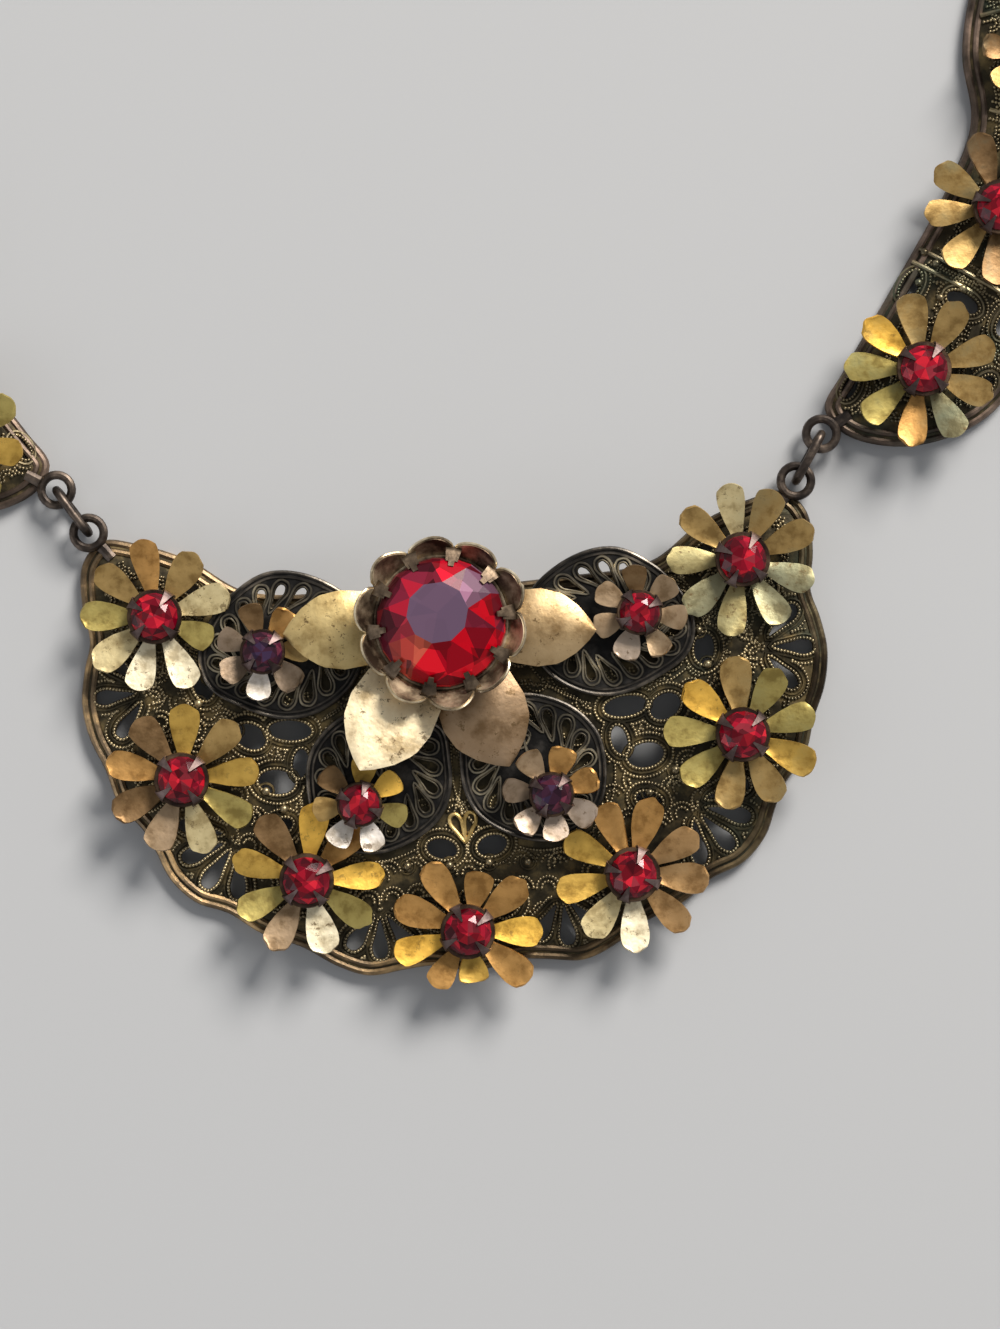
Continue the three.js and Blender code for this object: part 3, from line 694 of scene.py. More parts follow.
for (word, hand), line in lobe_lines.items():
    spine = evenly(SPINES[word], 0.5, closed=False)
    seats = evenly(inset(lobe_lines[word, "right"], LOOP_INSET), LOOP_PITCH)
    loops, holes = [], []
    for i, (x, y) in enumerate(seats):
        along = seats[(i + 1) % len(seats)] - seats[i - 1]
        inward = math.degrees(math.atan2(along[1], along[0])) + 90 + LOOP_LEAN
        far = placed(x, y, inward, LOOP_LONG, 0)
        loops.append(teardrop(*far, inward + 180, LOOP_LONG, LOOP_WIDE))
        back, shorter, slimmer = LOOP_HOLE
        root = placed(x, y, inward, LOOP_LONG - back, 0)
        holes.append(teardrop(*root, inward + 180, LOOP_LONG - shorter, LOOP_WIDE - slimmer))
    core = [oval(x, y, *CORE_OVAL) for x, y in spine[3:-3:4]]
    if hand == "left":
        loops, core, holes = ([across(k, 0) for k in group] for group in (loops, core, holes))
        spine = across(spine, 0)
    plate = pierced_sheet(inset(line, 0.2), holes, LOBE_BOTTOM, LOBE_TOP)
    add_piece(f"lobe_{word}_{hand}_sheet", plate, black_and_shade_sheet, "blackened", f"lobe_{word}_{hand}")
    border = wires_along(line, LOBE_EDGES)
    add_piece(f"lobe_{word}_{hand}_border", border, black_edge, "blackened")
    wires = bmesh.new()
    curve_into(wires, raised(loops + core, LOBE_TOP + 0.05), radius=0.12)
    inner = [inset(hole, -0.04) for hole in holes]
    curve_into(wires, raised(inner, LOBE_TOP + 0.02), radius=0.08, sides=0)
    curve_into(wires, raised([spine], LOBE_TOP + 0.06), closed=False, radius=0.16)
    add_piece(f"lobe_{word}_{hand}_wires", wires, black_wire, "blackened")

# Daisies and small flowers: petals of thin gilt brass sheet cut in one piece, bent by hand
# so that no two lie alike, under a dark cup with four prongs that holds a cut stone.
# Each petal's finish is one letter of this card of aged gilt tones. The pale w, y and s are
# partly painted highlight: besides the gilt's own colour they paint petals that catch the key
# light.
TONES = {
    "g": (0.62, 0.39, 0.085),
    "a": (0.88, 0.52, 0.09),
    "r": (0.55, 0.3, 0.095),
    "t": (0.47, 0.31, 0.115),
    "b": (0.22, 0.132, 0.06),
    "o": (0.45, 0.36, 0.115),
    "c": (0.8, 0.66, 0.36),
    "w": (1.0, 0.89, 0.64),
    "y": (1.0, 0.61, 0.11),
    "s": (0.96, 0.88, 0.8),
    "p": (0.44, 0.31, 0.19),
    "q": (0.52, 0.41, 0.32),
    "v": (0.32, 0.3, 0.18),
    "e": (0.36, 0.3, 0.14),
    "m": (0.25, 0.185, 0.13),
    "k": (0.5, 0.3, 0.13),
}
# how speckled a tone is, if not a little
SPECKLED = {"w": 1.0, "q": 1.0, "s": 1.0, "v": 1.0, "e": 1.0, "c": 0.8, "a": 0.5, "y": 0.6}
A_LITTLE = 0.3
# petals of these tones lean towards the key light, which stands at this turn
GLINTS = "wys"
KEY_TURN = 54
GLINT_LEAN = 0.15
GLINT_LEAST = 0.07
DAISY = {
    "petals": 9, "root": 1.5, "tip": 7.5, "half_width": 1.45, "notch": 2.75, "rise": 0.9,
    "stem": 0.8, "stem_radius": 1.2, "cup_radius": 2.62, "cup_height": 1.6, "stone": 2.25,
}
SMALL = {
    "petals": 7, "root": 1.2, "tip": 4.7, "half_width": 1.28, "notch": 2.3, "rise": 0.6,
    "stem": 1.1, "stem_radius": 1.0, "cup_radius": 2.15, "cup_height": 1.4, "stone": 1.9,
}
FLOWERS = [
    # node, x, y, phase, finish of each petal counter-clockwise from the phase
    ("daisy_1", -27.35, 2.1, 14, "ctrtocwwo"),
    ("daisy_2", -25.91, -13.47, 3, "gtgbrbpco"),
    ("daisy_3", -14.83, -23.83, 1, "yrabgopwo"),
    ("daisy_4", 0.01, -29.79, -5, "yrrrrargr"),
    ("daisy_5", 15.98, -25.52, 30, "krrggcwkk"),
    ("daisy_6", 27.31, -13.08, 14, "ootaoottg"),
    ("daisy_7", 28.52, 3.44, 18, "ttctevevv"),
    ("small_flower_1", -17.33, -1.97, 1, "trbmmsm"),
    ("small_flower_2", 18.37, -0.87, -10, "ppbppqp"),
    ("small_flower_3", -9.27, -16.99, 29.5, "ygbtsso"),
    ("small_flower_4", 8.85, -17.36, 18, "rrpmqqq"),
    ("panel_right_daisy_1", 46.95, 20.15, 14, "tttaoorvt"),
    ("panel_right_daisy_2", 55.3, 34.9, 22, "btbtttbtt"),
    ("panel_right_flower_3", 59.3, 49.3, 12, "tbtbttb"),
    ("panel_left_daisy_1", -45.95, 20.15, -14, "gocgtoggo"),
    ("panel_left_daisy_2", -54.3, 34.9, -22, "gtotgttot"),
    ("panel_left_flower_3", -58.3, 49.3, -12, "tobtpto"),
]
DARK_STONES = ("small_flower_1", "small_flower_4")
# petals cut short, by their share of the usual length
SHORT = {("daisy_4", 2): 0.78, ("daisy_4", 6): 0.84, ("daisy_4", 7): 0.69, ("daisy_1", 8): 0.82}
PETAL_ALONG = [0, 0.2, 0.45, 0.68, 0.84, 0.93, 0.98, 1.0]
SQUARE_END = [0.27, 0.42, 0.74, 0.96, 1.0, 0.93, 0.82, 0.66]
ROUND_END = [0.3, 0.5, 0.86, 1.02, 0.95, 0.78, 0.58, 0.36]
# what chance gives each petal, in the order in which it is drawn
PETAL_CHANCE = {
    "length": (0.95, 1.0), "width": (0.9, 1.04), "pitch": (-0.05, 0.16), "roll": (-0.16, 0.16),
    "curl": (-0.1, 0.3), "dish": (-0.12, 0.2), "skew": (-0.12, 0.12), "turn": (-0.035, 0.035),
    "shade": (0.9, 1.08), "square": (0, 1),
}
PITCH_REACH = 2.2
PETAL_LEVEL = 0.25
PETAL_THICK = 0.24
CUP_WALL = 0.4
PRONG_WOBBLE = 9
POINT_DEPTH = 0.36
GLASS_IOR = 1.45
# strength of the glass's painted glow in its own facet tones
GLASS_GLOW = 0.08
SHARD_LEVELS = (0.3, 1.7)
petal_gilt = aged_metal(
    "petal_gilt", (0.6, 0.55, 0.47), (0.9, 0.88, 0.84), (1.0, 1.0, 1.0), 0.4,
    grain=520, specks=1.3, green=0.5, spread=0.13,
)
cup_brass = aged_metal(
    "cup_brass", (0.02, 0.012, 0.01), (0.055, 0.032, 0.022), (0.16, 0.1, 0.06), 0.34,
)
prong_grey = aged_metal(
    "prong_grey", (0.035, 0.022, 0.02), (0.085, 0.058, 0.052), (0.2, 0.145, 0.135), 0.42,
)


def petals(name, kind, phase, letters, chance):
    """One bmesh of every petal, with its tint kept in a colour layer.

    Petals of the bright tones are bent so that they face the key light a little.
    """
    bm = bmesh.new()
    tint = bm.verts.layers.float_color.new("tint")
    free = kind["tip"] - kind["notch"]
    for i, letter in enumerate(letters):
        made = bmesh.ops.create_grid(bm, x_segments=14, y_segments=6, size=0.5)["verts"]
        own = {key: chance.uniform(*span) for key, span in PETAL_CHANCE.items()}
        if letter in GLINTS:
            away = math.radians(KEY_TURN - phase - 360 * i / kind["petals"])
            slope = max(-GLINT_LEAN * math.cos(away), -GLINT_LEAST) - 0.5 * kind["rise"] / free
            own["pitch"], own["roll"] = slope * free / PITCH_REACH, -GLINT_LEAN * math.sin(away)
            own["curl"], own["dish"] = 0.05, 0.06
        tip = kind["tip"] * own["length"] * SHORT.get((name, i), 1)
        width = kind["half_width"] * own["width"]
        ends = zip(SQUARE_END, ROUND_END)
        ends = [own["square"] * s + (1 - own["square"]) * r for s, r in ends]
        turn = Matrix.Rotation(2 * math.pi * i / kind["petals"] + own["turn"], 3, "Z")
        tone = [min(c * own["shade"], 1.0) for c in TONES[letter]]
        for vert in made:
            share, side = vert.co.x + 0.5, 2 * vert.co.y
            half = width * np.interp(share, PETAL_ALONG, ends)
            round_end = 0.05 * side * side * max(0, share - 0.8) / 0.2
            out = kind["root"] + (tip - kind["root"]) * (share - round_end)
            lifted = max(0, (out - kind["notch"]) / free)
            up = kind["rise"] * 0.5 * lifted + own["pitch"] * PITCH_REACH * lifted
            up += own["curl"] * lifted**3 + own["dish"] * side * side + own["roll"] * side * half
            sideways = side * half + own["skew"] * lifted * lifted
            vert.co = turn @ Vector((out, sideways, kind["stem"] + PETAL_LEVEL + up))
            vert[tint] = (*tone, SPECKLED.get(letter, A_LITTLE))
    thickened(bm, bm.faces[:], PETAL_THICK)
    bmesh.ops.recalc_face_normals(bm, faces=bm.faces)
    return bm


def thickened(bm, faces, thickness):
    bmesh.ops.recalc_face_normals(bm, faces=faces)
    bmesh.ops.solidify(bm, geom=faces, thickness=thickness)


def turned(bm, profile, steps):
    """Spins a profile of radius and height about the upright axis."""
    verts = [bm.verts.new((r, 0, z)) for r, z in profile]
    edges = [bm.edges.new(pair) for pair in zip(verts, verts[1:])]
    bmesh.ops.spin(
        bm, geom=verts + edges, axis=(0, 0, 1), cent=(0, 0, 0), steps=steps,
        angle=2 * math.pi, use_merge=True,
    )
    bmesh.ops.remove_doubles(bm, verts=bm.verts, dist=0.003)
    bmesh.ops.recalc_face_normals(bm, faces=bm.faces)


def prong_into(bm, aim, path, root_width, tip_width, thick):
    """A narrow strip bent along a path of radius and height, tapering to its tip."""
    made = bmesh.ops.create_grid(bm, x_segments=6, y_segments=2, size=0.5)
    run = np.array(path, dtype=float)
    turn = Matrix.Rotation(math.radians(aim), 3, "Z")
    shares = np.linspace(0, 1, len(run))
    for vert in made["verts"]:
        share, side = vert.co.x + 0.5, vert.co.y
        width = root_width + (tip_width - root_width) * share
        r, z = np.interp(share, shares, run[:, 0]), np.interp(share, shares, run[:, 1])
        vert.co = turn @ Vector((r, side * width, z))
    thickened(bm, list({f for v in made["verts"] for f in v.link_faces}), thick)


def cut_stone(
    radius, sides, base, tones, table_tone, chance, shards=1.0, table=0.52, star=(0.79, 0.25),
    off=(0, 0),
):
    """A hull round table, star points, girdle and point, its facets tinted one by one.

    The tones are (turn up to which they hold, list of tones) round the stone.
    """
    bm = bmesh.new()
    for i in range(sides):
        turn = 2 * math.pi * i / sides
        half = math.pi / sides
        rings = (
            (table, 0.4, turn, 1), (*star, turn + half, 0.4), (0.98, 0.06, turn, 0),
            (0.98, 0.06, turn + half, 0), (1.0, -0.02, turn, 0), (1.0, -0.02, turn + half, 0),
        )
        for r, z, a, share in rings:
            x, y = (radius * r * math.cos(a), radius * r * math.sin(a))
            bm.verts.new((x + off[0] * share, y + off[1] * share, radius * z))
    bm.verts.new((0, 0, -POINT_DEPTH * radius))
    bmesh.ops.convex_hull(bm, input=bm.verts[:])
    bmesh.ops.dissolve_limit(bm, angle_limit=0.02, verts=bm.verts[:], edges=bm.edges[:])
    top = [f for f in bm.faces if f.normal.z > 0.99]
    wedges = set(bmesh.ops.poke(bm, faces=top)["faces"])
    bmesh.ops.translate(bm, verts=bm.verts, vec=(0, 0, base))
    layer = bm.loops.layers.float_color.new("tint")
    for face in bm.faces:
        middle = face.calc_center_median()
        turn = math.degrees(math.atan2(middle.y, middle.x)) % 360
        near = next(sector[1] for sector in tones if turn <= sector[0])
        tone = chance.choice(table_tone if face in wedges else near)
        for loop in face.loops:
            loop[layer] = (*tone, shards if face in wedges else 1)
    return bm


def cut_glass(name, shard_scale=900.0, rough=0.14, shine=0.3):
    """Foil-backed glass: each facet shows its own tone under a clear polished face."""
    finish, tree, shader = new_finish(name, {
        "Roughness": rough, "IOR": GLASS_IOR, "Specular IOR Level": shine,
        "Emission Strength": GLASS_GLOW,
    })
    tint = node(tree, "Attribute", attribute_name="tint")
    own = node(tree, "TexCoord").outputs["Object"]
    # painted glitter: small cells make the facets lighter and darker in patches
    shards = node(tree, "TexVoronoi", Vector=own, Scale=shard_scale)
    split = node(tree, "SeparateColor", shards.outputs["Color"])
    level = ranged(tree, split.outputs[0], 0, 1, *SHARD_LEVELS)
    grey = node(tree, "CombineColor", level, level, level).outputs[0]
    tone = mixed(tree, tint.outputs["Alpha"], tint.outputs["Color"], grey, "MULTIPLY")
    # the tones also feed the emission, a faint painted glow
    for socket in ("Base Color", "Emission Color"):
        tree.links.new(tone, shader.inputs[socket])
    return finish


red_glass = cut_glass("red_glass")
purple_glass = cut_glass("purple_glass")
# Facet tones from dark to bright, chosen at random per facet: partly the glass's own red and
# purple, partly painted light, the sparkle of light sent back by the foil.
RED_FACETS = [
    (0.17, 0.002, 0.01), (0.11, 0.001, 0.007), (0.06, 0.0, 0.004), (0.28, 0.005, 0.012),
    (0.09, 0.0, 0.005),
]
RED_TABLE = [(0.17, 0.003, 0.01), (0.1, 0.001, 0.006), (0.28, 0.008, 0.016), (0.13, 0.012, 0.018)]
PURPLE_FACETS = [
    (0.034, 0.005, 0.012), (0.014, 0.003, 0.007), (0.065, 0.011, 0.021), (0.022, 0.006, 0.016),
]
PURPLE_TABLE = [(0.022, 0.012, 0.03), (0.032, 0.015, 0.034), (0.024, 0.007, 0.016)]
PRONG_TURNS = (35, 125, 215, 305)
PRONG_SIZE = (1.4, 0.15, 0.14)


def stone_node(name):
    if name.startswith("panel"):
        return name + "_stone"
    return name.replace("daisy", "daisy_stone").replace("small_flower", "small_stone")


for number, (name, x, y, phase, letters) in enumerate(FLOWERS):
    kind = SMALL if "flower" in name else DAISY
    chance = random.Random(40 + number)
    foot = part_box(name)[0][2] / MM
    seat = stood(x, y, foot, math.radians(phase))
    sheet = petals(name, kind, phase, letters, chance)
    add_piece(f"{name}_petals", sheet, petal_gilt, "gilt", name, sharp=50, put=seat)
    stem, foot_radius, outer = kind["stem"], kind["stem_radius"], kind["cup_radius"]
    rim = stem + kind["cup_height"] + 0.25
    cup = bmesh.new()
    turned(cup, [
        (0, -0.2), (foot_radius, -0.2), (foot_radius, stem), (outer - 0.5, stem + 0.1),
        (outer - 0.1, stem + 0.6), (outer, rim - 0.15), (outer - 0.08, rim),
        (outer - CUP_WALL, rim), (outer - CUP_WALL, rim - 0.4), (0, stem + 0.9),
    ], 32)
    add_piece(f"{name}_cup", cup, cup_brass, "cup_brass", put=seat)
    stone = kind["stone"]
    girdle = stem + kind["cup_height"] + 0.3
    prongs = bmesh.new()
    path = [(outer - 0.1, girdle - 0.5), (outer + 0.02, girdle), (outer - 0.25, girdle + 0.3),
            (stone * 0.8, girdle + 0.3 * stone), (stone * 0.5, girdle + 0.44 * stone)]
    for turn in PRONG_TURNS:
        wobble = chance.uniform(-PRONG_WOBBLE, PRONG_WOBBLE)
        prong_into(prongs, turn + wobble, path, *PRONG_SIZE)
    add_piece(f"{name}_prongs", prongs, prong_grey, "cup_brass", put=seat)
    dark = name in DARK_STONES
    facets, table = (PURPLE_FACETS, PURPLE_TABLE) if dark else (RED_FACETS, RED_TABLE)
    gem = cut_stone(stone, 8, girdle, [(360, facets)], table, chance)
    glass, slot = (purple_glass, "purple_glass") if dark else (red_glass, "red_glass")
    add_piece(f"{name}_gem", gem, glass, slot, stone_node(name), sharp=5, put=seat)

# The centre: four pressed leaves of pale gilt sheet, pointed and domed, held on a short post
# below the large stone's cup.
CENTRE = (-0.3, -0.45)
LEAVES = [
    # aim, length, half width, crown, lift of the tip, tone; the tones hold painted light as well
    # as the gilt's colour, the lower-left leaf's raised to a painted highlight, the lower-right
    # leaf's lowered to painted shade
    (180, 15.0, 3.75, 0.8, 0.2, (0.68, 0.52, 0.24)),
    (-7, 14.6, 3.7, 0.8, 0, (0.52, 0.37, 0.2)),
    (-123, 15.8, 4.25, 0.4, 2.9, (1.0, 0.85, 0.58)),
    (-69, 15.0, 4.2, 0.7, -0.2, (0.33, 0.225, 0.135)),
]
LEAF_ALONG = [0, 0.15, 0.35, 0.55, 0.72, 0.85, 0.94, 1.0]
LEAF_ACROSS = [0.4, 0.64, 0.92, 1.0, 0.9, 0.61, 0.31, 0.02]
LEAF_ROOT = 2.6
LEAF_LEVEL = 5.0
LEAF_RISE = 0.7
LEAF_THICK = 0.3
leaf_gilt = aged_metal(
    "leaf_gilt", (0.55, 0.48, 0.38), (0.92, 0.89, 0.84), (1.0, 1.0, 1.0), 0.42,
    grain=330, specks=1.25, bump=0.3, spread=0.15,
)
leaves = bmesh.new()
tint = leaves.verts.layers.float_color.new("tint")
for aim, length, half_width, bulge, lift, tone in LEAVES:
    made = bmesh.ops.create_grid(leaves, x_segments=20, y_segments=10, size=0.5)["verts"]
    turn = Matrix.Rotation(math.radians(aim), 3, "Z")
    for vert in made:
        share, side = vert.co.x + 0.5, 2 * vert.co.y
        out = LEAF_ROOT + (length - LEAF_ROOT) * share
        half = half_width * np.interp(share, LEAF_ALONG, LEAF_ACROSS)
        swell = math.sin(math.pi * min(share * 0.9 + 0.08, 1)) ** 0.7
        crown = bulge * (1 - side * side) * swell
        level = LEAF_LEVEL + LEAF_RISE * min(1, share * 2) + lift * share
        vert.co = turn @ Vector((out, side * half, level + crown))
        vert[tint] = (*tone, 1)
thickened(leaves, leaves.faces[:], LEAF_THICK)
bmesh.ops.recalc_face_normals(leaves, faces=leaves.faces)
at_centre = Matrix.Translation((*CENTRE, 0))
add_piece("centre_leaves", leaves, leaf_gilt, "pale_gilt", "leaf_rosette", sharp=50, put=at_centre)

post = bmesh.new()
post_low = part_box("leaf_rosette")[0][2] / MM - 0.2
turned(post, [(0, post_low), (2.6, post_low), (2.6, 5.0), (4.2, 5.05), (4.2, 5.45), (0, 5.45)], 40)
add_piece("centre_post", post, cup_brass, "cup_brass", put=at_centre)

# The large stone's cup: a turned seat of brass with a flared border of ten round scallops,
# each a little dished, and ten prongs folded in over the stone from the notches.
SCALLOPS = 10
SCALLOP_PHASE = 22
SCALLOP_STEPS = 160
BORDER_ROOT = 6.2
NOTCH_RADIUS = 7.0
SCALLOP_REACH = 1.05
BORDER_THICK = 0.25
CLAW_STRIPS = [
    # lean (degrees), radius and level of the tip, width at the root
    (-3, 5.75, 4.05, 0.9),
    (0, 5.2, 4.6, 1.3),
    (3, 5.7, 4.1, 0.9),
]
cup_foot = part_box("centre_cup")[0][2] / MM
cup_gilt = aged_metal(
    "cup_gilt", (0.065, 0.042, 0.026), (0.29, 0.215, 0.135), (0.62, 0.5, 0.33), 0.4,
    grain=380, spread=0.12,
)
edge_gilt = aged_metal(
    "edge_gilt", (0.16, 0.11, 0.07), (0.5, 0.4, 0.26), (0.9, 0.78, 0.56), 0.26,
    grain=300, spread=0.14,
)
claw_brown = aged_metal(
    "claw_brown", (0.035, 0.024, 0.016), (0.1, 0.07, 0.046), (0.26, 0.19, 0.125), 0.42, grain=420,
)
seat = stood(*CENTRE, cup_foot, math.radians(SCALLOP_PHASE))


def scallop_edge(turn, share):
    """Place on the flared border: across it from the stone (0) to its wavy edge (1)."""
    wave = abs(math.cos(turn * SCALLOPS / 2))
    worn = 0.16 * math.sin(3.1 * turn + 1) + 0.1 * math.sin(7.3 * turn)
    edge = NOTCH_RADIUS + (SCALLOP_REACH + worn) * wave**0.6
    flare = (edge - BORDER_ROOT) * share
    out = BORDER_ROOT + flare
    up = 2.5 + (1.0 + 0.5 * worn) * flare - 0.4 * wave * math.sin(math.pi * share)
    return (out * math.cos(turn), out * math.sin(turn), up)


border = bmesh.new()
made = bmesh.ops.create_grid(border, x_segments=SCALLOP_STEPS, y_segments=8, size=0.5)["verts"]
for vert in made:
    vert.co = scallop_edge(2 * math.pi * (vert.co.x + 0.5), vert.co.y + 0.5)
bmesh.ops.remove_doubles(border, verts=border.verts, dist=0.003)
thickened(border, border.faces[:], BORDER_THICK)
seat_profile = [(0, 0), (3.9, 0), (6.3, 2.5), (6.3, 3.1), (6.0, 3.1), (5.4, 2.6), (0, 0.6)]
turned(border, seat_profile, 60)
add_piece("centre_cup_border", border, cup_gilt, "cup_brass", "centre_cup", sharp=50, put=seat)
claws = bmesh.new()
for i in range(SCALLOPS):
    aim = (i + 0.5) * 360 / SCALLOPS
    for lean, tip, level, root in CLAW_STRIPS:
        path = [(7.0, 3.0), (6.95, 3.5), (6.6, 3.8), (6.15, 3.9), (tip, level)]
        prong_into(claws, aim + lean, path, root, 0.5, 0.2)
add_piece("centre_claws", claws, claw_brown, "cup_brass", sharp=50, put=seat)
edge = bmesh.new()
turns = [2 * math.pi * i / SCALLOP_STEPS for i in range(SCALLOP_STEPS)]
curve_into(edge, [[scallop_edge(turn, 1.0) for turn in turns]], radius=0.14)
add_piece("centre_cup_edge", edge, edge_gilt, "cup_brass", sharp=50, put=seat)

# The large stone is round foil-backed red glass with a broad table.
CENTRE_STONE = 6.1
GIRDLE_OVER_FOOT = 0.38 * 5.85
STONE_TURN = 0.07
TABLE_OFF = (-0.2, 0.9)
# the table's grey-blue is a painted reflection of the sky
BIG_TABLE_SKY_REFLECTION = [(0.085, 0.052, 0.085), (0.095, 0.056, 0.09)]
MAROON = [(0.1, 0.006, 0.016), (0.15, 0.008, 0.02), (0.07, 0.004, 0.01), (0.22, 0.006, 0.016)]
BRIGHT_RED = [(0.36, 0.0, 0.006), (0.2, 0.0, 0.005), (0.44, 0.004, 0.011), (0.12, 0.0, 0.004)]
BIG_RED = [
    # turn up to which they hold, tones; painted light: bright red where the stone looks lit,
    # maroon where it looks shaded, and grey-pink up to 48 degrees as a painted reflection
    (22, MAROON + BRIGHT_RED[:2]), (48, [(0.17, 0.075, 0.12)]), (62, MAROON),
    (80, [(0.34, 0.003, 0.012)]), (205, MAROON), (232, [(0.36, 0.06, 0.035), (0.3, 0.025, 0.015)]),
    (330, BRIGHT_RED), (360, MAROON + BRIGHT_RED[:2]),
]
centre_glass = cut_glass("centre_glass", 480.0, rough=0.28, shine=0.18)
stone_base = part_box("centre_stone")[0][2] / MM + GIRDLE_OVER_FOOT
big = cut_stone(
    CENTRE_STONE, 10, stone_base, BIG_RED, BIG_TABLE_SKY_REFLECTION, random.Random(7),
    shards=0.1, table=0.475, star=(0.87, 0.19), off=TABLE_OFF,
)
seat = stood(*CENTRE, 0, STONE_TURN)
add_piece("centre_gem", big, centre_glass, "red_glass", "centre_stone", sharp=5, put=seat)

# Two side panels are made as the plaque is: a pierced and domed stamping in a double rim,
# with bands of smooth and beaded wire across it between the flowers.
PANEL_CORNERS = [
    (37.7, 17.4), (39.4, 14.8), (44.4, 13.2), (50.0, 13.9), (54.2, 16.2), (57.6, 20.8),
    (60.2, 27.0), (62.4, 34.0), (64.2, 41.0), (65.2, 48.0), (64.8, 54.6), (62.8, 60.4),
    (60.4, 63.6), (58.2, 62.4), (55.8, 59.2), (54.2, 55.0), (53.3, 50.0), (53.7, 43.8),
    (51.4, 38.4), (44.6, 27.9), (39.6, 20.6),
]
PANEL_OVALS = [
    (40.2, 19.2, 60, 2.6, 1.3), (52.8, 18.2, 40, 2.8, 1.4), (46.6, 28.4, 56, 3.2, 1.6),
    (51.4, 26.4, -34, 3.4, 1.8), (55.6, 24.2, 50, 3.2, 1.8), (60.0, 41.8, 70, 3.0, 1.6),
    (57.4, 57.0, 60, 3.2, 1.6), (61.4, 57.0, 110, 3.0, 1.6),
]
PANEL_GRANULES = [
    (48.2, 31.5), (49.2, 30.3), (47.4, 28.6), (49.3, 27.0), (51.5, 27.7), (57.0, 42.6),
    (58.8, 56.0),
]
PANEL_ROWS = [(2.4, 1.9, 0.8), (4.4, 2.2, 0.95), (6.4, 2.3, 1.0)]
PANEL_BANDS = [
    # from, to
    ((47.0, 30.7), (52.5, 27.2)), ((47.8, 31.9), (55.4, 26.9)),
    ((55.4, 44.6), (62.9, 41.6)), ((55.2, 53.6), (63.6, 55.0)),
]
BAND_RADIUS = 0.24
BAND_ECHO = np.array((0.35, 0.75))
LOOP_ROUND = [(44.5, 27.0), (47.5, 28.6), (50.8, 28.0), (53.0, 26.2), (54.0, 23.6)]
panel_rim_bronze = aged_metal(
    "panel_rim_bronze", (0.05, 0.036, 0.028), (0.12, 0.086, 0.064), (0.27, 0.19, 0.145), 0.46,
    grain=300, green=0.3,
)
panel_corner_line = evenly(smooth_line(PANEL_CORNERS, 8), LINE_PITCH)

for side, word in ((1, "right"), (-1, "left")):
    def hand(points):
        return points if side > 0 else across(points, MIDDLE)

    line = hand(panel_corner_line)

    def panel_lift(points, line=line):
        return dome_height(points, line, PANEL_DOME)

    holes = [hand(oval(*o)) for o in PANEL_OVALS]
    sheet = pierced_sheet(inset(line, SHEET_INSET), holes, SHEET_BOTTOM, SHEET_TOP, panel_lift)
    add_piece(f"panel_{word}_sheet", sheet, field_bronze, "bronze", f"panel_{word}")
    add_piece(f"panel_{word}_rim", wires_along(line, RIM_WIRES), panel_rim_bronze, "bronze")
    bands = [hand(evenly(band, 0.5, closed=False)) for band in PANEL_BANDS]
    echoes = [hand(smooth_line(LOOP_ROUND, 8, closed=False))]
    for band in bands:
        echoes += [band + BAND_ECHO, band - BAND_ECHO]
    balls = [(on_side(x, side), y) for x, y in PANEL_GRANULES]
    beaded(f"panel_{word}_beading", line, holes, PANEL_ROWS, balls, panel_lift, echoes)
    smooth = bmesh.new()
    bars = raised(bands, SHEET_TOP + 0.1, panel_lift)
    curve_into(smooth, bars, closed=False, radius=BAND_RADIUS, sides=2)
    round_holes = [evenly(inset(hole, -HOLE_WIRE), 0.5) for hole in holes]
    curve_into(smooth, raised(round_holes, SHEET_TOP + 0.02, panel_lift), radius=FINE_RADIUS)
    add_piece(f"panel_{word}_wires", smooth, bead_bronze, "bronze")
    eyes = bmesh.new()
    for eye in PANEL_EYES:
        eye_into(eyes, *eye, side)
    add_piece(f"panel_{word}_eyes", eyes, dark_wire, "bronze")

# An upright oval link of dark brown wire joins each ear of the plaque to its panel, and
# from the panels' far eyes run two plain chains, their links upright and flat by turns.
LINK_HALF_HEIGHT = 1.25
CHAIN_ROUTE = [
    (60.5, 66.2), (61.5, 74), (60.9, 83), (58.2, 93.5), (52.8, 104),
    (44.2, 113.4), (33.2, 120.4), (20.5, 124.9), (7.55, 126.2),
]
CHAIN_LINKS = 11
CHAIN_HALF_WIDTH = 1.2
CHAIN_OVERLAP = 0.65


def link_line(half_length, half_height, matrix, flat=False):
    """A closed oval of wire, long in X, upright or lying flat, put in place."""
    turns = np.linspace(0, 2 * math.pi, 40, endpoint=False)
    along = half_height * np.cos(turns)
    along += (half_length - half_height) * np.clip(1.8 * np.cos(turns), -1, 1)
    loop = np.stack([along, 0 * turns, half_height * np.sin(turns)], axis=1)
    if flat:
        loop = loop[:, [0, 2, 1]]
    return np.array([matrix @ Vector(p) for p in loop])


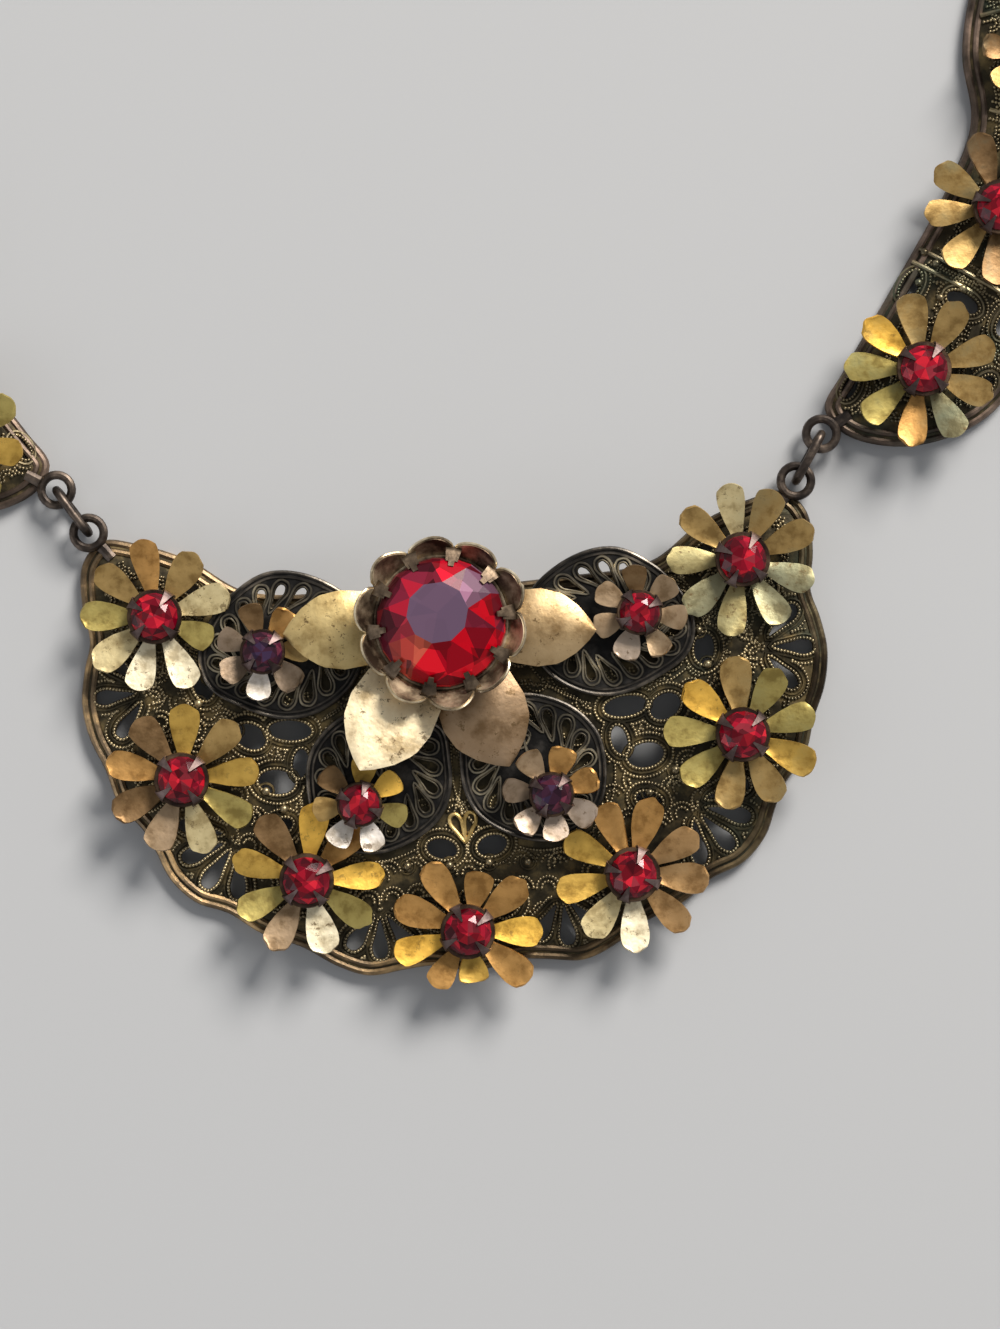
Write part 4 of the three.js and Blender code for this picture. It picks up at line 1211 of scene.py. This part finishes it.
for side, word in ((1, "right"), (-1, "left")):
    ear, eye = Vector(EAR_EYE[:2]), Vector(PANEL_EYES[0][:2])
    middle, along = (ear + eye) / 2, eye - ear
    turn = side * math.atan2(along.y, along.x)
    put = stood(on_side(middle.x, side), middle.y, LINK_LEVEL, turn)
    link = bmesh.new()
    curve_into(link, [link_line(along.length / 2, LINK_HALF_HEIGHT, put)], radius=WIRE, sides=4)
    add_piece(f"jump_link_{word}_wire", link, dark_wire, "dark_wire", f"jump_link_{word}")

    route = smooth_line([(on_side(x, side), y) for x, y in CHAIN_ROUTE], 200, closed=False)
    run = run_along(route)
    half_length = (run[-1] + (CHAIN_LINKS - 1) * CHAIN_OVERLAP) / (2 * CHAIN_LINKS)
    pitch = 2 * half_length - CHAIN_OVERLAP
    loops = []
    for i in range(CHAIN_LINKS):
        at = half_length + i * pitch
        spot, ahead, back = (
            np.array([np.interp(at + d, run, route[:, k]) for k in (0, 1)]) for d in (0, 0.2, -0.2)
        )
        turn = math.atan2(ahead[1] - back[1], ahead[0] - back[0])
        put = stood(*spot, LINK_LEVEL, turn)
        loops.append(link_line(half_length, CHAIN_HALF_WIDTH, put, flat=bool(i % 2)))
    chain = bmesh.new()
    curve_into(chain, loops, radius=WIRE, sides=4)
    add_piece(f"chain_{word}_links", chain, dark_wire, "dark_wire", f"chain_{word}")

# The clasp is one plain turned barrel with a ring of wire at each end, out of the view.
CLASP_HALF = 5.2
CLASP_RADIUS = 1.62
CLASP_Y = 126.2
clasp = bmesh.new()
turned(clasp, [
    (0, -CLASP_HALF), (1.0, -CLASP_HALF), (1.4, 0.25 - CLASP_HALF),
    (CLASP_RADIUS, 0.7 - CLASP_HALF), (CLASP_RADIUS, -0.2), (CLASP_RADIUS - 0.15, 0),
    (CLASP_RADIUS, 0.2), (CLASP_RADIUS, CLASP_HALF - 0.7), (1.4, CLASP_HALF - 0.25),
    (1.0, CLASP_HALF), (0, CLASP_HALF),
], 40)
lie = Matrix.Translation((MIDDLE, CLASP_Y, LINK_LEVEL)) @ Matrix.Rotation(math.pi / 2, 4, "Y")
bmesh.ops.transform(clasp, matrix=lie, verts=clasp.verts)
for end in (-1, 1):
    ring_x = MIDDLE + end * (CLASP_HALF + EYE_RADIUS + 0.2)
    ring = oval(ring_x, CLASP_Y, 0, 2 * EYE_RADIUS, 2 * EYE_RADIUS, 28)
    curve_into(clasp, [with_height(ring, LINK_LEVEL)], radius=WIRE, sides=4)
add_piece("clasp_barrel", clasp, dark_wire, "dark_wire", "clasp")
